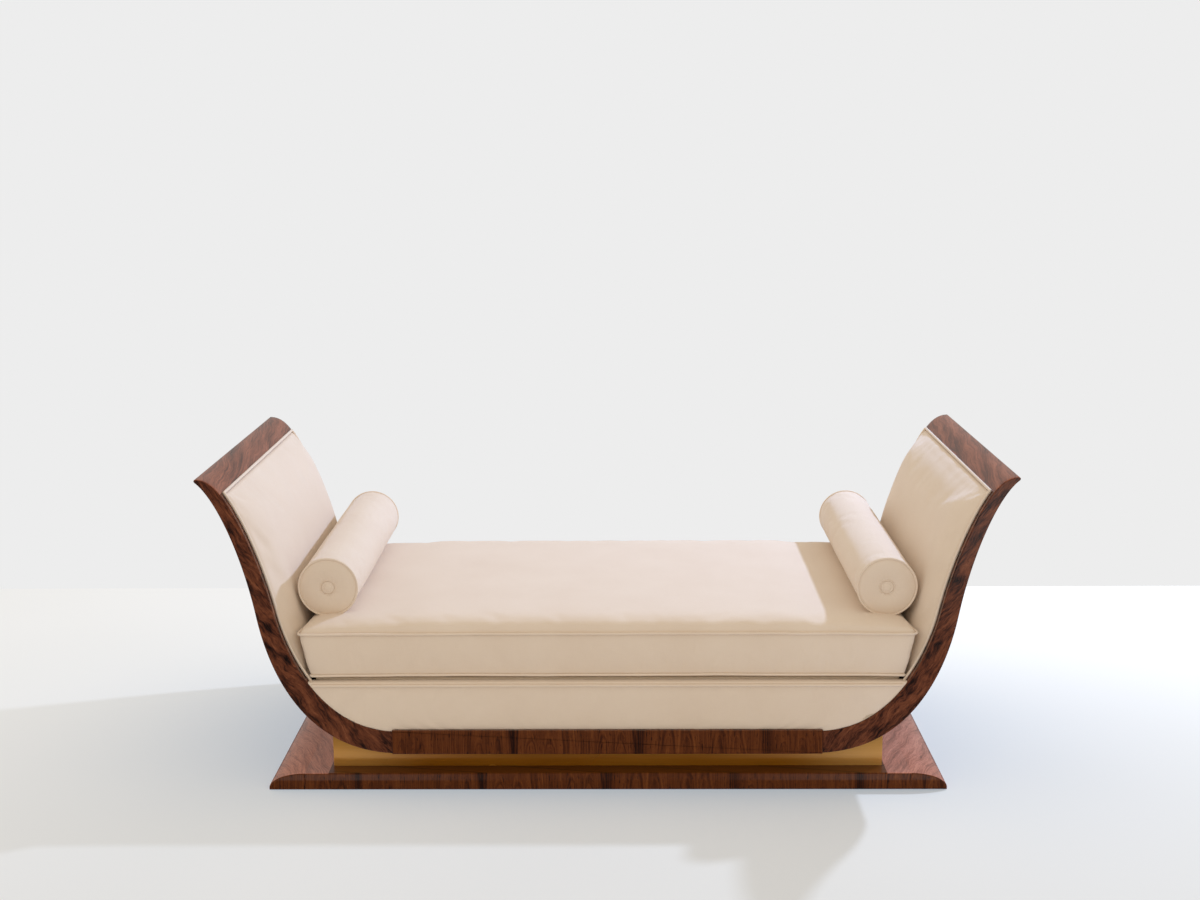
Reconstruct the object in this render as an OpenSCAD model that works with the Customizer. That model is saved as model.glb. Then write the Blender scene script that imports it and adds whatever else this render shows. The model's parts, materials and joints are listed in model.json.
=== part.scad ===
// Recamier: a lacquered veneered frame with two flared arms on a stepped plinth,
// a loose seat cushion and a loose bolster at each arm.
// X runs along the length, Y to the back, Z up from the floor under the middle of the plinth.

/* [Overall size] */
// Length from one arm tip to the other
overall_length = 2000; // [1900:10:2200]
// Depth over the faces of the side frames
body_depth = 870; // [760:10:960]
// Height of the arm tips above the floor
arm_height = 797; // [760:1:860]

/* [Plinth] */
// How far the plinth's ends stand in from the arm tips
plinth_inset = 150; // [110:5:200]
// Thickness of the plinth
plinth_height = 43; // [35:1:55]
// How far the plinth stands out past the side frames
plinth_proud = 6; // [0:1:20]
// Length of the plinth's rounded end
plinth_nose_length = 90; // [60:1:110]
// Height of the blunt edge where the rounded end meets the floor
plinth_edge = 5; // [3:1:10]
// Thickness of the veneered strip on the plinth's long faces
plinth_facing = 6; // [3:1:12]

/* [Riser] */
// How far the riser stands in from the plinth's ends
riser_inset = 156; // [130:2:210]
// Height of the riser between plinth and body
riser_height = 51; // [40:1:70]
// How far the riser stands back from the side frames
riser_setback = 45; // [30:1:90]
// Thickness of the riser's boards
riser_board = 20; // [15:1:30]

/* [Side frames and apron] */
// Run of a side frame from its joint with the apron to its tip
arm_run = 462.5; // [450:0.5:490]
// Height of the apron
apron_height = 62; // [58:1:75]
// How far the apron stands out past the side frames
apron_proud = 6; // [0:1:12]
// Thickness of the boards that the side frames are cut from
frame_board = 22; // [18:1:30]
// Height of a side frame at its joint with the apron
frame_end_height = 57; // [50:1:58]
// How far the steepest point of the arm lies below its tip
waist_drop = 347; // [330:1:365]
// How far that point stands in from the tip
waist_inset = 136; // [122:1:150]
// Width of the side frame there, seen from the front
waist_width = 46; // [42:1:60]
// Width of the cap on top of the arm, seen from above
cap_width = 63; // [56:1:74]
// Height of the cap's crest above its inner edge
cap_drop = 37; // [32:1:44]
// Radius of the arm's blunt tip
nose_radius = 4.5; // [3:0.5:7]

/* [Body panels] */
// Thickness of the bent outer shell and of the bottom board
shell_thickness = 10; // [8:1:12]
// Thickness of the bent board behind the arm's padding
arm_board_thickness = 6; // [4:1:8]
// Thickness of the ribs inside the arms
rib_thickness = 18; // [12:1:30]
// Height of the webbing above the floor
webbing_height = 262; // [250:1:266]
// Thickness of the seat rails
seat_rail_thickness = 28; // [22:1:40]
// Width of the end rails and cross rails
cross_rail_width = 28; // [20:1:40]
// Height of the end rails and cross rails
cross_rail_height = 80; // [60:1:100]
// Thickness of the backing board of the front and back panels
panel_board = 12; // [8:1:16]

/* [Upholstery] */
// Thickness of the arm's padding at its edges
arm_pad_thickness = 12; // [8:1:14]
// How much the arm's padding swells in the middle
arm_pad_crown = 24; // [6:1:30]
// How far the top edge of the upholstered panels stands above the webbing
panel_rise = 17; // [14:1:22]
// Radius of the welt along the show-wood
frame_welt_radius = 3.2; // [2:0.2:4]
// Height of the seat platform above the webbing
deck_rise = 26; // [24:1:32]
// How far the seat platform stands back from the side frames
deck_setback = 30; // [26:1:60]
// Width of one strip of webbing
webbing_width = 60; // [40:1:70]
// Thickness of the webbing
webbing_thickness = 1.5; // [1:0.1:1.8]

/* [Seat cushion] */
// Gap between the cushion's bottom corners and the arms
cushion_foot_gap = 7; // [5:1:25]
// Gap between the cushion's top corners and the arms
cushion_seam_gap = 30; // [24:1:50]
// How far the cushion's corners stand back from the faces of the side frames
cushion_setback = 17; // [5:1:40]
// Thickness of the cushion at its seams
cushion_thickness = 110; // [80:1:130]
// How much the top swells above its seam
cushion_crown = 28; // [8:1:34]
// How far the cushion's ends are drawn in between the corners
cushion_end_draw = 20; // [0:1:28]
// How far the cushion's front and back are drawn in between the corners
cushion_front_draw = 6; // [0:1:16]
// Radius of the welts on the cushion and the bolsters
cushion_welt_radius = 2.6; // [1.6:0.2:4]
// Thickness of the cushion's cover and wadding over the foam
cover_thickness = 14; // [10:1:20]

/* [Bolsters] */
// Diameter of a bolster
bolster_diameter = 150; // [110:2:170]
// Distance from a bolster's ends to the faces of the side frames, when it lies in the middle
bolster_setback = 50; // [50:5:130]
// Distance of a bolster's middle from the line of the cushion's top corners
bolster_inset = 70; // [66:1:110]
// How far the left bolster lies back from the middle
bolster_shift_left = 50; // [0:1:50]
// How far the right bolster lies back from the middle
bolster_shift_right = 42; // [0:1:50]
// Diameter of the covered button in each end
button_diameter = 36; // [24:1:50]
// Depth of the dimple that a button sits in
button_dimple = 7; // [3:1:10]

/* [Hidden] */

$fn = 48;
// Room left between a soft or curved piece and what it rests on
seat_gap = 0.3;
// Overrun of every cut
cut_over = 1;
// Steps along each curve of the arm
curve_steps = 12;
// Steps round the arm's blunt tip
nose_steps = 6;

// Colours of the finishes
wood_color = [0.33, 0.14, 0.08];
gold_color = [0.72, 0.52, 0.18];
timber_color = [0.76, 0.62, 0.42];
fabric_color = [0.90, 0.85, 0.77];
foam_color = [0.93, 0.90, 0.72];
webbing_color = [0.55, 0.45, 0.32];
metal_color = [0.65, 0.65, 0.66];

half_length = overall_length / 2;
half_depth = body_depth / 2;
inside_half = half_depth - frame_board;
apron_half = half_length - arm_run;
waist_half = half_length - waist_inset;
waist_height = arm_height - waist_drop;
plinth_half = half_length - plinth_inset;
plinth_flat_half = plinth_half - plinth_nose_length;
plinth_half_depth = half_depth + plinth_proud;
riser_half = plinth_half - riser_inset;
riser_length = 2 * riser_half;
riser_face = half_depth - riser_setback;
body_bottom = plinth_height + riser_height;
apron_top = body_bottom + apron_height;
panel_top = webbing_height + panel_rise;
deck_height = webbing_height + deck_rise;

// Curves of the side frame. Each is a cubic curve through the apron joint, the waist and the tip.
outer_lean = 80;
inner_lean = 77.6;
joint_lean = 3;
tip_lean = 38.7;
cap_edge_lean = 53;
outer_low_shares = [0.68, 0.41];
outer_high_shares = [0.44, 0.19];
inner_low_shares = [0.70, 0.20];
inner_high_shares = [0.52, 0.15];
crest_shares = [0.55, 0.45];

// Direction of a lean angle
function heading(angle) = [cos(angle), sin(angle)];

// Cubic curve from one point and heading to another, with handles as shares of the rise
function curve_between(start, start_lean, end, end_lean, shares, start_span, end_span) = [
    start,
    start + shares[0] * start_span * heading(start_lean),
    end - shares[1] * end_span * heading(end_lean),
    end
];

// Point on a cubic curve
function curve_at(c, t) =
    pow(1 - t, 3) * c[0] + 3 * pow(1 - t, 2) * t * c[1] + 3 * (1 - t) * t * t * c[2] + pow(t, 3) * c[3];

// Direction of a cubic curve, of length 1
function heading_at(c, t) =
    let (run = pow(1 - t, 2) * (c[1] - c[0]) + 2 * (1 - t) * t * (c[2] - c[1]) + t * t * (c[3] - c[2]))
    run / norm(run);

// Point at a distance from the curve, on the side of the seat when the distance is positive
function beside(c, t, gap) =
    let (h = heading_at(c, t))
    curve_at(c, t) + gap * [-h[1], h[0]];

// Points beside one stretch of a curve
function stretch(c, gap = 0, from = 0, to = 1) =
    [for (i = [0:curve_steps]) beside(c, from + (to - from) * i / curve_steps, gap)];

// Where a curve, moved by gap, reaches a height
function t_at_height(c, height, gap = 0, low = 0, high = 1, tries = 24) =
    let (middle = (low + high) / 2)
    tries == 0 ? middle
        : beside(c, middle, gap)[1] < height ? t_at_height(c, height, gap, middle, high, tries - 1)
        : t_at_height(c, height, gap, low, middle, tries - 1);

// Where a curve, moved by gap, crosses the line square to a heading through a point
function t_at_line(c, point, along, gap = 0, low = 0, high = 1, tries = 24) =
    let (middle = (low + high) / 2)
    tries == 0 ? middle
        : (beside(c, middle, gap) - point) * along < 0
            ? t_at_line(c, point, along, gap, middle, high, tries - 1)
        : t_at_line(c, point, along, gap, low, middle, tries - 1);

// A list from its last item to its first
function backwards(list) = [for (i = [len(list) - 1:-1:0]) list[i]];

// A list without its first item
function without_first(list) = [for (i = [1:len(list) - 1]) list[i]];

// An outline that starts and ends on the middle line, joined with its mirror image
function both_halves(half) = concat(half, [for (p = backwards(half)) if (p[0] > 0) [-p[0], p[1]]]);

outer_start = [apron_half, body_bottom];
outer_waist = [waist_half, waist_height];
nose_centre = [half_length - nose_radius, arm_height - nose_radius];
outer_end = nose_centre + nose_radius * heading(tip_lean - 90);
outer_low = curve_between(outer_start, joint_lean, outer_waist, outer_lean, outer_low_shares,
    waist_half - apron_half, waist_height - body_bottom);
outer_high = curve_between(outer_waist, outer_lean, outer_end, tip_lean, outer_high_shares,
    arm_height - waist_height, arm_height - waist_height);

inner_start = [apron_half, body_bottom + frame_end_height];
inner_waist = [waist_half - waist_width, waist_height];
cap_edge = [half_length - cap_width, arm_height - cap_drop];
inner_low = curve_between(inner_start, joint_lean, inner_waist, inner_lean, inner_low_shares,
    waist_half - waist_width - apron_half, waist_height - inner_start[1]);
inner_high = curve_between(inner_waist, inner_lean, cap_edge, cap_edge_lean, inner_high_shares,
    cap_edge[1] - waist_height, cap_edge[1] - waist_height);
crest = curve_between(cap_edge, cap_edge_lean, nose_centre + [0, nose_radius], 0, crest_shares,
    cap_drop, cap_width);

// The blunt tip, from the outer curve up to the crest
nose_points = [for (i = [1:nose_steps - 1])
    nose_centre + nose_radius * heading(tip_lean - 90 + (180 - tip_lean) * i / nose_steps)];

// The line across the arm where padding and shell end under the cap
cap_heading = heading_at(inner_high, 1);
t_cap_outside = t_at_line(outer_high, cap_edge, cap_heading);
t_cap_inside = t_at_line(outer_high, cap_edge, cap_heading, shell_thickness);

// Padding and arm board start where their outer corner clears the seat rails
arm_layers = arm_pad_thickness + arm_board_thickness;
t_webbing = t_at_height(inner_low, webbing_height);
arm_foot = webbing_height + seat_gap + arm_layers * heading_at(inner_low, t_webbing)[0];
t_foot = t_at_height(inner_low, arm_foot);

// Points of the bent panels
function inner_points(gap) =
    concat(stretch(inner_low, gap, t_foot, 1), without_first(stretch(inner_high, gap)));

// Where a rising line of points is at a height
function place_at(points, height) = lookup(height, [for (p = points) [p[1], p[0]]]);

// The part of a rising line between two heights
function between_heights(points, low, high) = concat(
    [[place_at(points, low), low]],
    [for (p = points) if (p[1] > low && p[1] < high) p],
    [[place_at(points, high), high]]
);

// The inner face of the outer shell, moved by a gap towards the seat
function shell_inside(gap = 0) = concat(
    [[apron_half, body_bottom + shell_thickness + gap]],
    without_first(stretch(outer_low, shell_thickness + gap)),
    without_first(stretch(outer_high, shell_thickness + gap, 0, t_cap_inside))
);

// Height of the underside of the body, above a place along the length
outer_low_points = stretch(outer_low);
underside = stretch(outer_low, -seat_gap);
function underside_at(x) = x < apron_half ? body_bottom : lookup(x, underside);

// Half the clear length between the side frames at a height
inner_low_points = stretch(inner_low);
inner_all_points = concat(inner_low_points, without_first(stretch(inner_high)));
function clear_half_at(height) = place_at(inner_all_points, height);

// Extrudes an outline in X and Z over a stretch of the depth
module over_depth(front, back) {
    translate([0, back, 0])
        rotate([90, 0, 0])
            linear_extrude(height = back - front)
                children();
}

// Draws its children on the right, or mirrored on the left
module on_side(side) {
    if (side > 0) {
        children();
    } else {
        mirror([1, 0, 0])
            children();
    }
}

// Draws its children at the front, or mirrored at the back
module at_face(face) {
    if (face < 0) {
        children();
    } else {
        mirror([0, 1, 0])
            children();
    }
}

// A tube of six sides along a list of points, each with a frame of two directions across it
module tube(rings, closed = false) {
    sides = len(rings[0]);
    count = len(rings);
    last = closed ? count - 1 : count - 2;
    walls = [for (i = [0:last]) for (j = [0:sides - 1])
        let (n = (i + 1) % count, k = (j + 1) % sides)
        [i * sides + j, i * sides + k, n * sides + k, n * sides + j]];
    ends = closed ? [] : [
        [for (j = [sides - 1:-1:0]) j],
        [for (j = [0:sides - 1]) (count - 1) * sides + j]
    ];
    polyhedron(points = [for (r = rings) for (p = r) p], faces = concat(walls, ends), convexity = 4);
}

// Sides of a welt
welt_sides = 6;

// One ring of a welt, square to its run
function welt_ring(centre, radius, across, up) =
    [for (j = [0:welt_sides - 1])
        centre + radius * (cos(360 * j / welt_sides) * across + sin(360 * j / welt_sides) * up)];

// Plinth

// Outline of the rounded end: a quarter of an oval down to the blunt edge
plinth_nose_steps = 14;
plinth_end_outline = concat(
    [[plinth_flat_half, 0], [plinth_half, 0], [plinth_half, plinth_edge]],
    [for (i = [1:plinth_nose_steps])
        let (turn = 90 * i / plinth_nose_steps)
        [plinth_flat_half + plinth_nose_length * cos(turn),
         plinth_edge + (plinth_height - plinth_edge) * sin(turn)]]
);

// Holes for the screws that hold riser and body on the plinth
screw_radius = 3;
screw_room = 0.3;
screw_head_radius = 6;
screw_head_height = 3;
screw_grip = 22;
bearer_count = 3;
bearer_pitch = riser_length / (bearer_count + 1);
screw_row = riser_face / 2;
function screw_places() =
    [for (i = [1:bearer_count]) for (s = [-1, 1]) [-riser_half + bearer_pitch * i, s * screw_row]];

module plinth_core() {
    core_half_depth = plinth_half_depth - plinth_facing;
    color(wood_color)
        difference() {
            translate([-plinth_flat_half, -core_half_depth, 0])
                cube([2 * plinth_flat_half, 2 * core_half_depth, plinth_height]);
            for (p = screw_places()) {
                translate([p[0], p[1], -cut_over])
                    cylinder(r = screw_radius + screw_room, h = plinth_height + 2 * cut_over);
                translate([p[0], p[1], -cut_over])
                    cylinder(r = screw_head_radius + screw_room, h = cut_over + 2 * screw_head_height);
            }
        }
}

module plinth_end(side) {
    color(wood_color)
        on_side(side)
            over_depth(-plinth_half_depth, plinth_half_depth)
                polygon(plinth_end_outline);
}

module plinth_facing_strip(face) {
    color(wood_color)
        at_face(face)
            translate([-plinth_flat_half, -plinth_half_depth, 0])
                cube([2 * plinth_flat_half, plinth_facing, plinth_height]);
}

// Riser, scribed to the underside of the body

// Outline of a riser board between two places along the length
function scribed_outline(from, to) = concat(
    [[from, plinth_height], [to, plinth_height], [to, underside_at(to)]],
    backwards([for (p = underside) if (p[0] > from && p[0] < to) p]),
    from < apron_half ? [[apron_half, body_bottom]] : [],
    [[from, underside_at(from)]]
);

module riser_long(face) {
    color(gold_color)
        at_face(face)
            over_depth(-riser_face, -riser_face + riser_board)
                polygon(both_halves(scribed_outline(0, riser_half)));
}

module riser_end(side) {
    riser_inside = riser_face - riser_board;
    color(gold_color)
        on_side(side)
            over_depth(-riser_inside, riser_inside)
                polygon(scribed_outline(riser_half - riser_board, riser_half));
}

// Legs of the triangular blocks that brace the riser's corners
corner_block_leg = 60;

module riser_corner_blocks() {
    corner_x = riser_half - riser_board;
    corner_y = riser_face - riser_board;
    color(timber_color)
        for (side = [-1, 1]) {
            for (face = [-1, 1]) {
                on_side(side)
                    at_face(face)
                        translate([corner_x, -corner_y, plinth_height])
                            linear_extrude(height = riser_height)
                                polygon([[0, 0], [0, corner_block_leg], [-corner_block_leg, 0]]);
            }
        }
}

bearer_width = 40;

module riser_bearers() {
    bearer_half = riser_face - riser_board;
    color(timber_color)
        difference() {
            for (i = [1:bearer_count]) {
                translate([-riser_half + bearer_pitch * i - bearer_width / 2, -bearer_half, plinth_height])
                    cube([bearer_width, 2 * bearer_half, riser_height]);
            }
            for (p = screw_places()) {
                translate([p[0], p[1], plinth_height - cut_over])
                    cylinder(r = screw_radius + screw_room, h = riser_height + 2 * cut_over);
            }
        }
}

// Body

module bottom_board() {
    color(timber_color)
        difference() {
            translate([-apron_half, -inside_half, body_bottom])
                cube([2 * apron_half, 2 * inside_half, shell_thickness]);
            for (p = screw_places()) {
                translate([p[0], p[1], body_bottom - cut_over])
                    cylinder(r = screw_radius + screw_room, h = shell_thickness + 2 * cut_over);
            }
        }
}

// Screws: one row up through the plinth, one down through the bottom board
module base_screws() {
    color(metal_color)
        for (p = screw_places()) {
            translate([p[0], p[1], screw_head_height]) {
                cylinder(r = screw_head_radius, h = screw_head_height);
                cylinder(r = screw_radius, h = plinth_height + screw_grip - screw_head_height);
            }
            translate([p[0], p[1], body_bottom + shell_thickness + seat_gap]) {
                cylinder(r = screw_head_radius, h = screw_head_height);
                translate([0, 0, -screw_grip])
                    cylinder(r = screw_radius, h = screw_grip);
            }
        }
}

// Bolts that draw the side frames and the aprons onto the seat rails
bolt_radius = 4;
bolt_room = 0.3;
bolt_head_radius = 8;
bolt_head_height = 5;
bolt_bite = frame_board * 0.7;
apron_bolt_shares = [0.35, 0.8];
apron_bolt_places = [for (s = [-1, 1]) for (share = apron_bolt_shares)
    [s * share * apron_half, body_bottom + apron_height / 2]];
// The lower bolt's head clears the end rail, and the upper one sits just under the webbing
frame_bolt_head_room = 3;
frame_bolt_low_drop = cross_rail_height + bolt_head_radius + frame_bolt_head_room;
frame_bolt_high_drop = 19;
function middle_of_frame(height) = (place_at(outer_low_points, height) + clear_half_at(height)) / 2;
frame_bolt_places = [for (s = [-1, 1]) for (drop = [frame_bolt_low_drop, frame_bolt_high_drop])
    [s * middle_of_frame(webbing_height - drop), webbing_height - drop]];
all_bolt_places = concat(apron_bolt_places, frame_bolt_places);

// Bolt holes drilled from the back of a front board
module bolt_holes(radius_room) {
    for (p = all_bolt_places) {
        translate([p[0], -inside_half - bolt_bite, p[1]])
            rotate([-90, 0, 0])
                cylinder(r = bolt_radius + radius_room, h = bolt_bite + seat_rail_thickness + cut_over);
    }
}

module frame_bolts() {
    color(metal_color)
        for (face = [-1, 1]) {
            at_face(face)
                for (p = all_bolt_places) {
                    translate([p[0], -inside_half - bolt_bite + seat_gap, p[1]])
                        rotate([-90, 0, 0])
                            cylinder(r = bolt_radius, h = bolt_bite + seat_rail_thickness);
                    translate([p[0], -inside_half + seat_rail_thickness + seat_gap, p[1]])
                        rotate([-90, 0, 0])
                            cylinder(r = bolt_head_radius, h = bolt_head_height);
                }
        }
}

module apron(face) {
    color(wood_color)
        at_face(face)
            difference() {
                translate([-apron_half, -half_depth - apron_proud, body_bottom])
                    cube([2 * apron_half, frame_board + apron_proud, apron_height]);
                bolt_holes(bolt_room);
            }
}

side_frame_outline = concat(
    outer_low_points,
    without_first(stretch(outer_high)),
    nose_points,
    backwards(stretch(crest)),
    without_first(backwards(stretch(inner_high))),
    without_first(backwards(inner_low_points))
);

module side_frame(side, face) {
    color(wood_color)
        at_face(face)
            difference() {
                on_side(side)
                    over_depth(-half_depth, -inside_half)
                        polygon(side_frame_outline);
                bolt_holes(bolt_room);
            }
}

outer_shell_outline = concat(
    outer_low_points,
    without_first(stretch(outer_high, 0, 0, t_cap_outside)),
    backwards(shell_inside())
);

module outer_shell(side) {
    color(wood_color)
        on_side(side)
            over_depth(-inside_half, inside_half)
                polygon(outer_shell_outline);
}

arm_cap_outline = concat(
    stretch(outer_high, 0, t_cap_outside, 1),
    nose_points,
    backwards(stretch(crest))
);

module arm_cap(side) {
    color(wood_color)
        on_side(side)
            over_depth(-inside_half, inside_half)
                polygon(arm_cap_outline);
}

arm_board_outline = concat(
    inner_points(-arm_pad_thickness),
    backwards(inner_points(-arm_layers))
);

module arm_board(side) {
    color(timber_color)
        on_side(side)
            over_depth(-inside_half, inside_half)
                polygon(arm_board_outline);
}

// The ribs fill the space between shell and arm board, up to where it closes
rib_top_share = 0.5;
rib_count = 3;
rib_foot = webbing_height + seat_gap;
rib_inside = inner_points(-arm_layers - seat_gap);
rib_top = waist_height + (cap_edge[1] - waist_height) * rib_top_share;
rib_outline = concat(
    between_heights(shell_inside(seat_gap), rib_foot, rib_top),
    backwards(between_heights(rib_inside, rib_inside[0][1], rib_top))
);

module arm_ribs(side) {
    rib_pitch = 2 * inside_half / rib_count;
    color(timber_color)
        on_side(side)
            for (i = [0:rib_count - 1]) {
                rib_middle = -inside_half + rib_pitch * (i + 0.5);
                over_depth(rib_middle - rib_thickness / 2, rib_middle + rib_thickness / 2)
                    polygon(rib_outline);
            }
}

// The seat rails fill the body's section under the webbing, inside the shell
rail_foot = body_bottom + shell_thickness;
seat_rail_half = concat(
    [[0, rail_foot]],
    between_heights(shell_inside(), rail_foot, webbing_height),
    [[0, webbing_height]]
);

module seat_rail(face) {
    color(timber_color)
        at_face(face)
            difference() {
                over_depth(-inside_half, -inside_half + seat_rail_thickness)
                    polygon(both_halves(seat_rail_half));
                bolt_holes(bolt_room);
            }
}

rail_inside = inside_half - seat_rail_thickness;
end_rail_room = 32;
end_rail_end = place_at(shell_inside(), webbing_height - cross_rail_height) - end_rail_room;
end_rail_middle = end_rail_end - cross_rail_width / 2;

module cross_bar(x) {
    translate([x - cross_rail_width / 2, -rail_inside, webbing_height - cross_rail_height])
        cube([cross_rail_width, 2 * rail_inside, cross_rail_height]);
}

module end_rail(side) {
    color(timber_color)
        cross_bar(side * end_rail_middle);
}

cross_rail_share = 0.33;

module cross_rails() {
    color(timber_color)
        for (side = [-1, 1]) {
            cross_bar(side * cross_rail_share * end_rail_middle);
        }
}

// Upholstered front and back panels, in the window between the side frames and the apron

panel_face_inset = 3;
panel_window_gap = 0.5;
panel_skin = frame_board - panel_face_inset - panel_board - seat_gap;
panel_foot = apron_top + panel_window_gap;

// Half the window's length at a height
function window_half_at(height) = clear_half_at(height) - panel_window_gap;

// Window outline up to a height
function window_half(top) = concat(
    [[0, panel_foot], [window_half_at(panel_foot), panel_foot]],
    [for (p = stretch(inner_low, panel_window_gap)) if (p[1] > panel_foot && p[1] < top) p],
    [[window_half_at(top), top], [0, top]]
);

module window_plate(front, back, top) {
    over_depth(front, back)
        polygon(both_halves(window_half(top)));
}

module panel_board(face) {
    color(timber_color)
        at_face(face)
            window_plate(-inside_half - panel_board, -inside_half, webbing_height);
}

roll_radius = 4;
roll_half = window_half_at(webbing_height);

// The cover lies on the board's face and rolls over its top edge to the seat platform
module panel_cover(face) {
    front = -half_depth + panel_face_inset;
    roll_back = -half_depth + deck_setback - seat_gap;
    roll_foot = webbing_height + seat_gap;
    color(fabric_color)
        at_face(face)
            union() {
                window_plate(front, front + panel_skin, panel_top - roll_radius);
                translate([-roll_half, 0, 0])
                    rotate([90, 0, 90])
                        linear_extrude(height = 2 * roll_half) {
                            translate([front + roll_radius, panel_top - roll_radius])
                                circle(r = roll_radius);
                            translate([front + roll_radius, roll_foot])
                                square([roll_back - front - roll_radius, panel_top - roll_foot]);
                        }
            }
}

module panel_welt(face) {
    welt_height = panel_top - roll_radius - frame_welt_radius;
    welt_half = window_half_at(welt_height - frame_welt_radius) - panel_window_gap;
    welt_front = -half_depth + panel_face_inset - frame_welt_radius - seat_gap;
    color(fabric_color)
        at_face(face)
            translate([-welt_half, welt_front, welt_height])
                rotate([0, 90, 0])
                    cylinder(r = frame_welt_radius, h = 2 * welt_half);
}

// Webbing and seat platform

across_count = 13;
along_count = 6;

module webbing_across() {
    pitch = 2 * end_rail_middle / across_count;
    strip_half = half_depth - deck_setback;
    color(webbing_color)
        for (i = [0:across_count - 1]) {
            strip_start = -end_rail_middle + pitch * (i + 0.5) - webbing_width / 2;
            translate([strip_start, -strip_half, webbing_height])
                cube([webbing_width, 2 * strip_half, webbing_thickness]);
        }
}

module webbing_along() {
    pitch = 2 * rail_inside / along_count;
    strip_half = end_rail_middle + cross_rail_width / 2;
    color(webbing_color)
        for (i = [0:along_count - 1]) {
            strip_start = -rail_inside + pitch * (i + 0.5) - webbing_width / 2;
            translate([-strip_half, strip_start, webbing_height + webbing_thickness])
                cube([2 * strip_half, webbing_width, webbing_thickness]);
        }
}

module seat_deck() {
    deck_base = webbing_height + 2 * webbing_thickness;
    deck_half = window_half_at(webbing_height);
    deck_half_depth = half_depth - deck_setback;
    color(fabric_color)
        translate([-deck_half, -deck_half_depth, deck_base])
            cube([2 * deck_half, 2 * deck_half_depth, deck_height - deck_base]);
}

// Arm padding: a sheet that follows the inner curve and swells towards its middle

pad_columns = 16;
pad_front_reach = inside_half - seat_gap;

// The padding lies flat under the welts, at the cap and along both side frames
pad_flat_half = pad_front_reach - frame_welt_radius;
cap_welt_line = cap_edge - (2 * frame_welt_radius + seat_gap) * cap_heading;
t_pad_flat = t_at_line(inner_high, cap_welt_line, cap_heading);

// Places along the padding, as pairs of a curve and a place on it
pad_stations = concat(
    [for (i = [0:curve_steps]) [inner_low, t_foot + (1 - t_foot) * i / curve_steps]],
    [for (i = [1:curve_steps]) [inner_high, t_pad_flat * i / curve_steps]],
    [[inner_high, 1]]
);

// Swelling from 0 at the edges to 1 in the middle
function swell(share, power) = 1 - pow(abs(2 * share - 1), power);

// The padding swells slowly from foot to cap, and with a boxed, rounded edge from front to back
function pad_swell(up_share, depth_share) = swell(up_share, 2) * sqrt(max(0, swell(depth_share, 30)));

function pad_point(station, across, gap) =
    let (p = beside(station[0], station[1], gap))
    [p[0], across, p[1]];

module arm_pad(side) {
    rows = len(pad_stations);
    columns = pad_columns + 1;
    inner_columns = pad_columns - 2;
    function depth_share(j) = (1 - cos(180 * min(max(j - 1, 0), inner_columns) / inner_columns)) / 2;
    function across(j) = j == 0 ? -pad_front_reach : j == pad_columns ? pad_front_reach
        : pad_flat_half * (2 * depth_share(j) - 1);
    front = [for (i = [0:rows - 1]) for (j = [0:pad_columns])
        pad_point(pad_stations[i], across(j),
            arm_pad_crown * pad_swell(min(1, i / (rows - 2)), depth_share(j)))];
    back = [for (i = [0:rows - 1]) for (j = [0:pad_columns])
        pad_point(pad_stations[i], across(j), -arm_pad_thickness + seat_gap)];
    all = rows * columns;
    front_faces = [for (i = [0:rows - 2]) for (j = [0:pad_columns - 1])
        [i * columns + j, i * columns + j + 1, (i + 1) * columns + j + 1, (i + 1) * columns + j]];
    back_faces = [for (f = front_faces) [f[3] + all, f[2] + all, f[1] + all, f[0] + all]];
    bottom_faces = [for (j = [0:pad_columns - 1]) [j + 1, j, j + all, j + 1 + all]];
    top_row = (rows - 1) * columns;
    top_faces = [for (j = [0:pad_columns - 1])
        [top_row + j, top_row + j + 1, top_row + j + 1 + all, top_row + j + all]];
    first_faces = [for (i = [0:rows - 2])
        [i * columns, (i + 1) * columns, (i + 1) * columns + all, i * columns + all]];
    last_faces = [for (i = [0:rows - 2])
        [(i + 1) * columns + pad_columns, i * columns + pad_columns,
         i * columns + pad_columns + all, (i + 1) * columns + pad_columns + all]];
    color(fabric_color)
        on_side(side)
            polyhedron(
                points = concat(front, back),
                faces = concat(front_faces, back_faces, bottom_faces, top_faces, first_faces, last_faces),
                convexity = 6);
}

// The arm's welt runs up the front frame, along the cap and down the back frame
module arm_welt(side) {
    rise = frame_welt_radius + seat_gap;
    last = len(pad_stations) - 2;
    function rail_ring(i, face) =
        let (s = pad_stations[i], h = heading_at(s[0], s[1]), p = beside(s[0], s[1], rise))
        welt_ring([p[0], face * inside_half, p[1]], frame_welt_radius, [0, -face, 0], [-h[1], 0, h[0]]);
    top = beside(inner_high, 1, rise) - frame_welt_radius * cap_heading;
    mitre = [cap_heading[0], 0, cap_heading[1]];
    out = [-cap_heading[1], 0, cap_heading[0]];
    function corner_ring(face) =
        welt_ring([top[0], face * inside_half, top[1]], frame_welt_radius, [0, -face, 0] - mitre, out);
    color(fabric_color)
        on_side(side)
            tube(concat(
                [for (i = [0:last]) rail_ring(i, -1)],
                [corner_ring(-1), corner_ring(1)],
                [for (i = [last:-1:0]) rail_ring(i, 1)]));
}

// Seat cushion

welt_room = 2 * cushion_welt_radius + seat_gap;
cushion_bottom = deck_height + seat_gap;
cushion_seam = cushion_bottom + cushion_thickness;
cushion_side_bulge = 3;
long_side_shares = [-0.985, -0.94, -0.8, -0.6, -0.4, -0.2, 0, 0.2, 0.4, 0.6, 0.8, 0.94, 0.985];
short_side_shares = [-0.975, -0.9, -0.7, -0.35, 0, 0.35, 0.7, 0.9, 0.975];

cushion_foot_half = clear_half_at(cushion_bottom) - cushion_foot_gap;
cushion_seam_half = clear_half_at(cushion_seam) - cushion_seam_gap;
cushion_half_depth = half_depth - cushion_setback;

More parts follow.
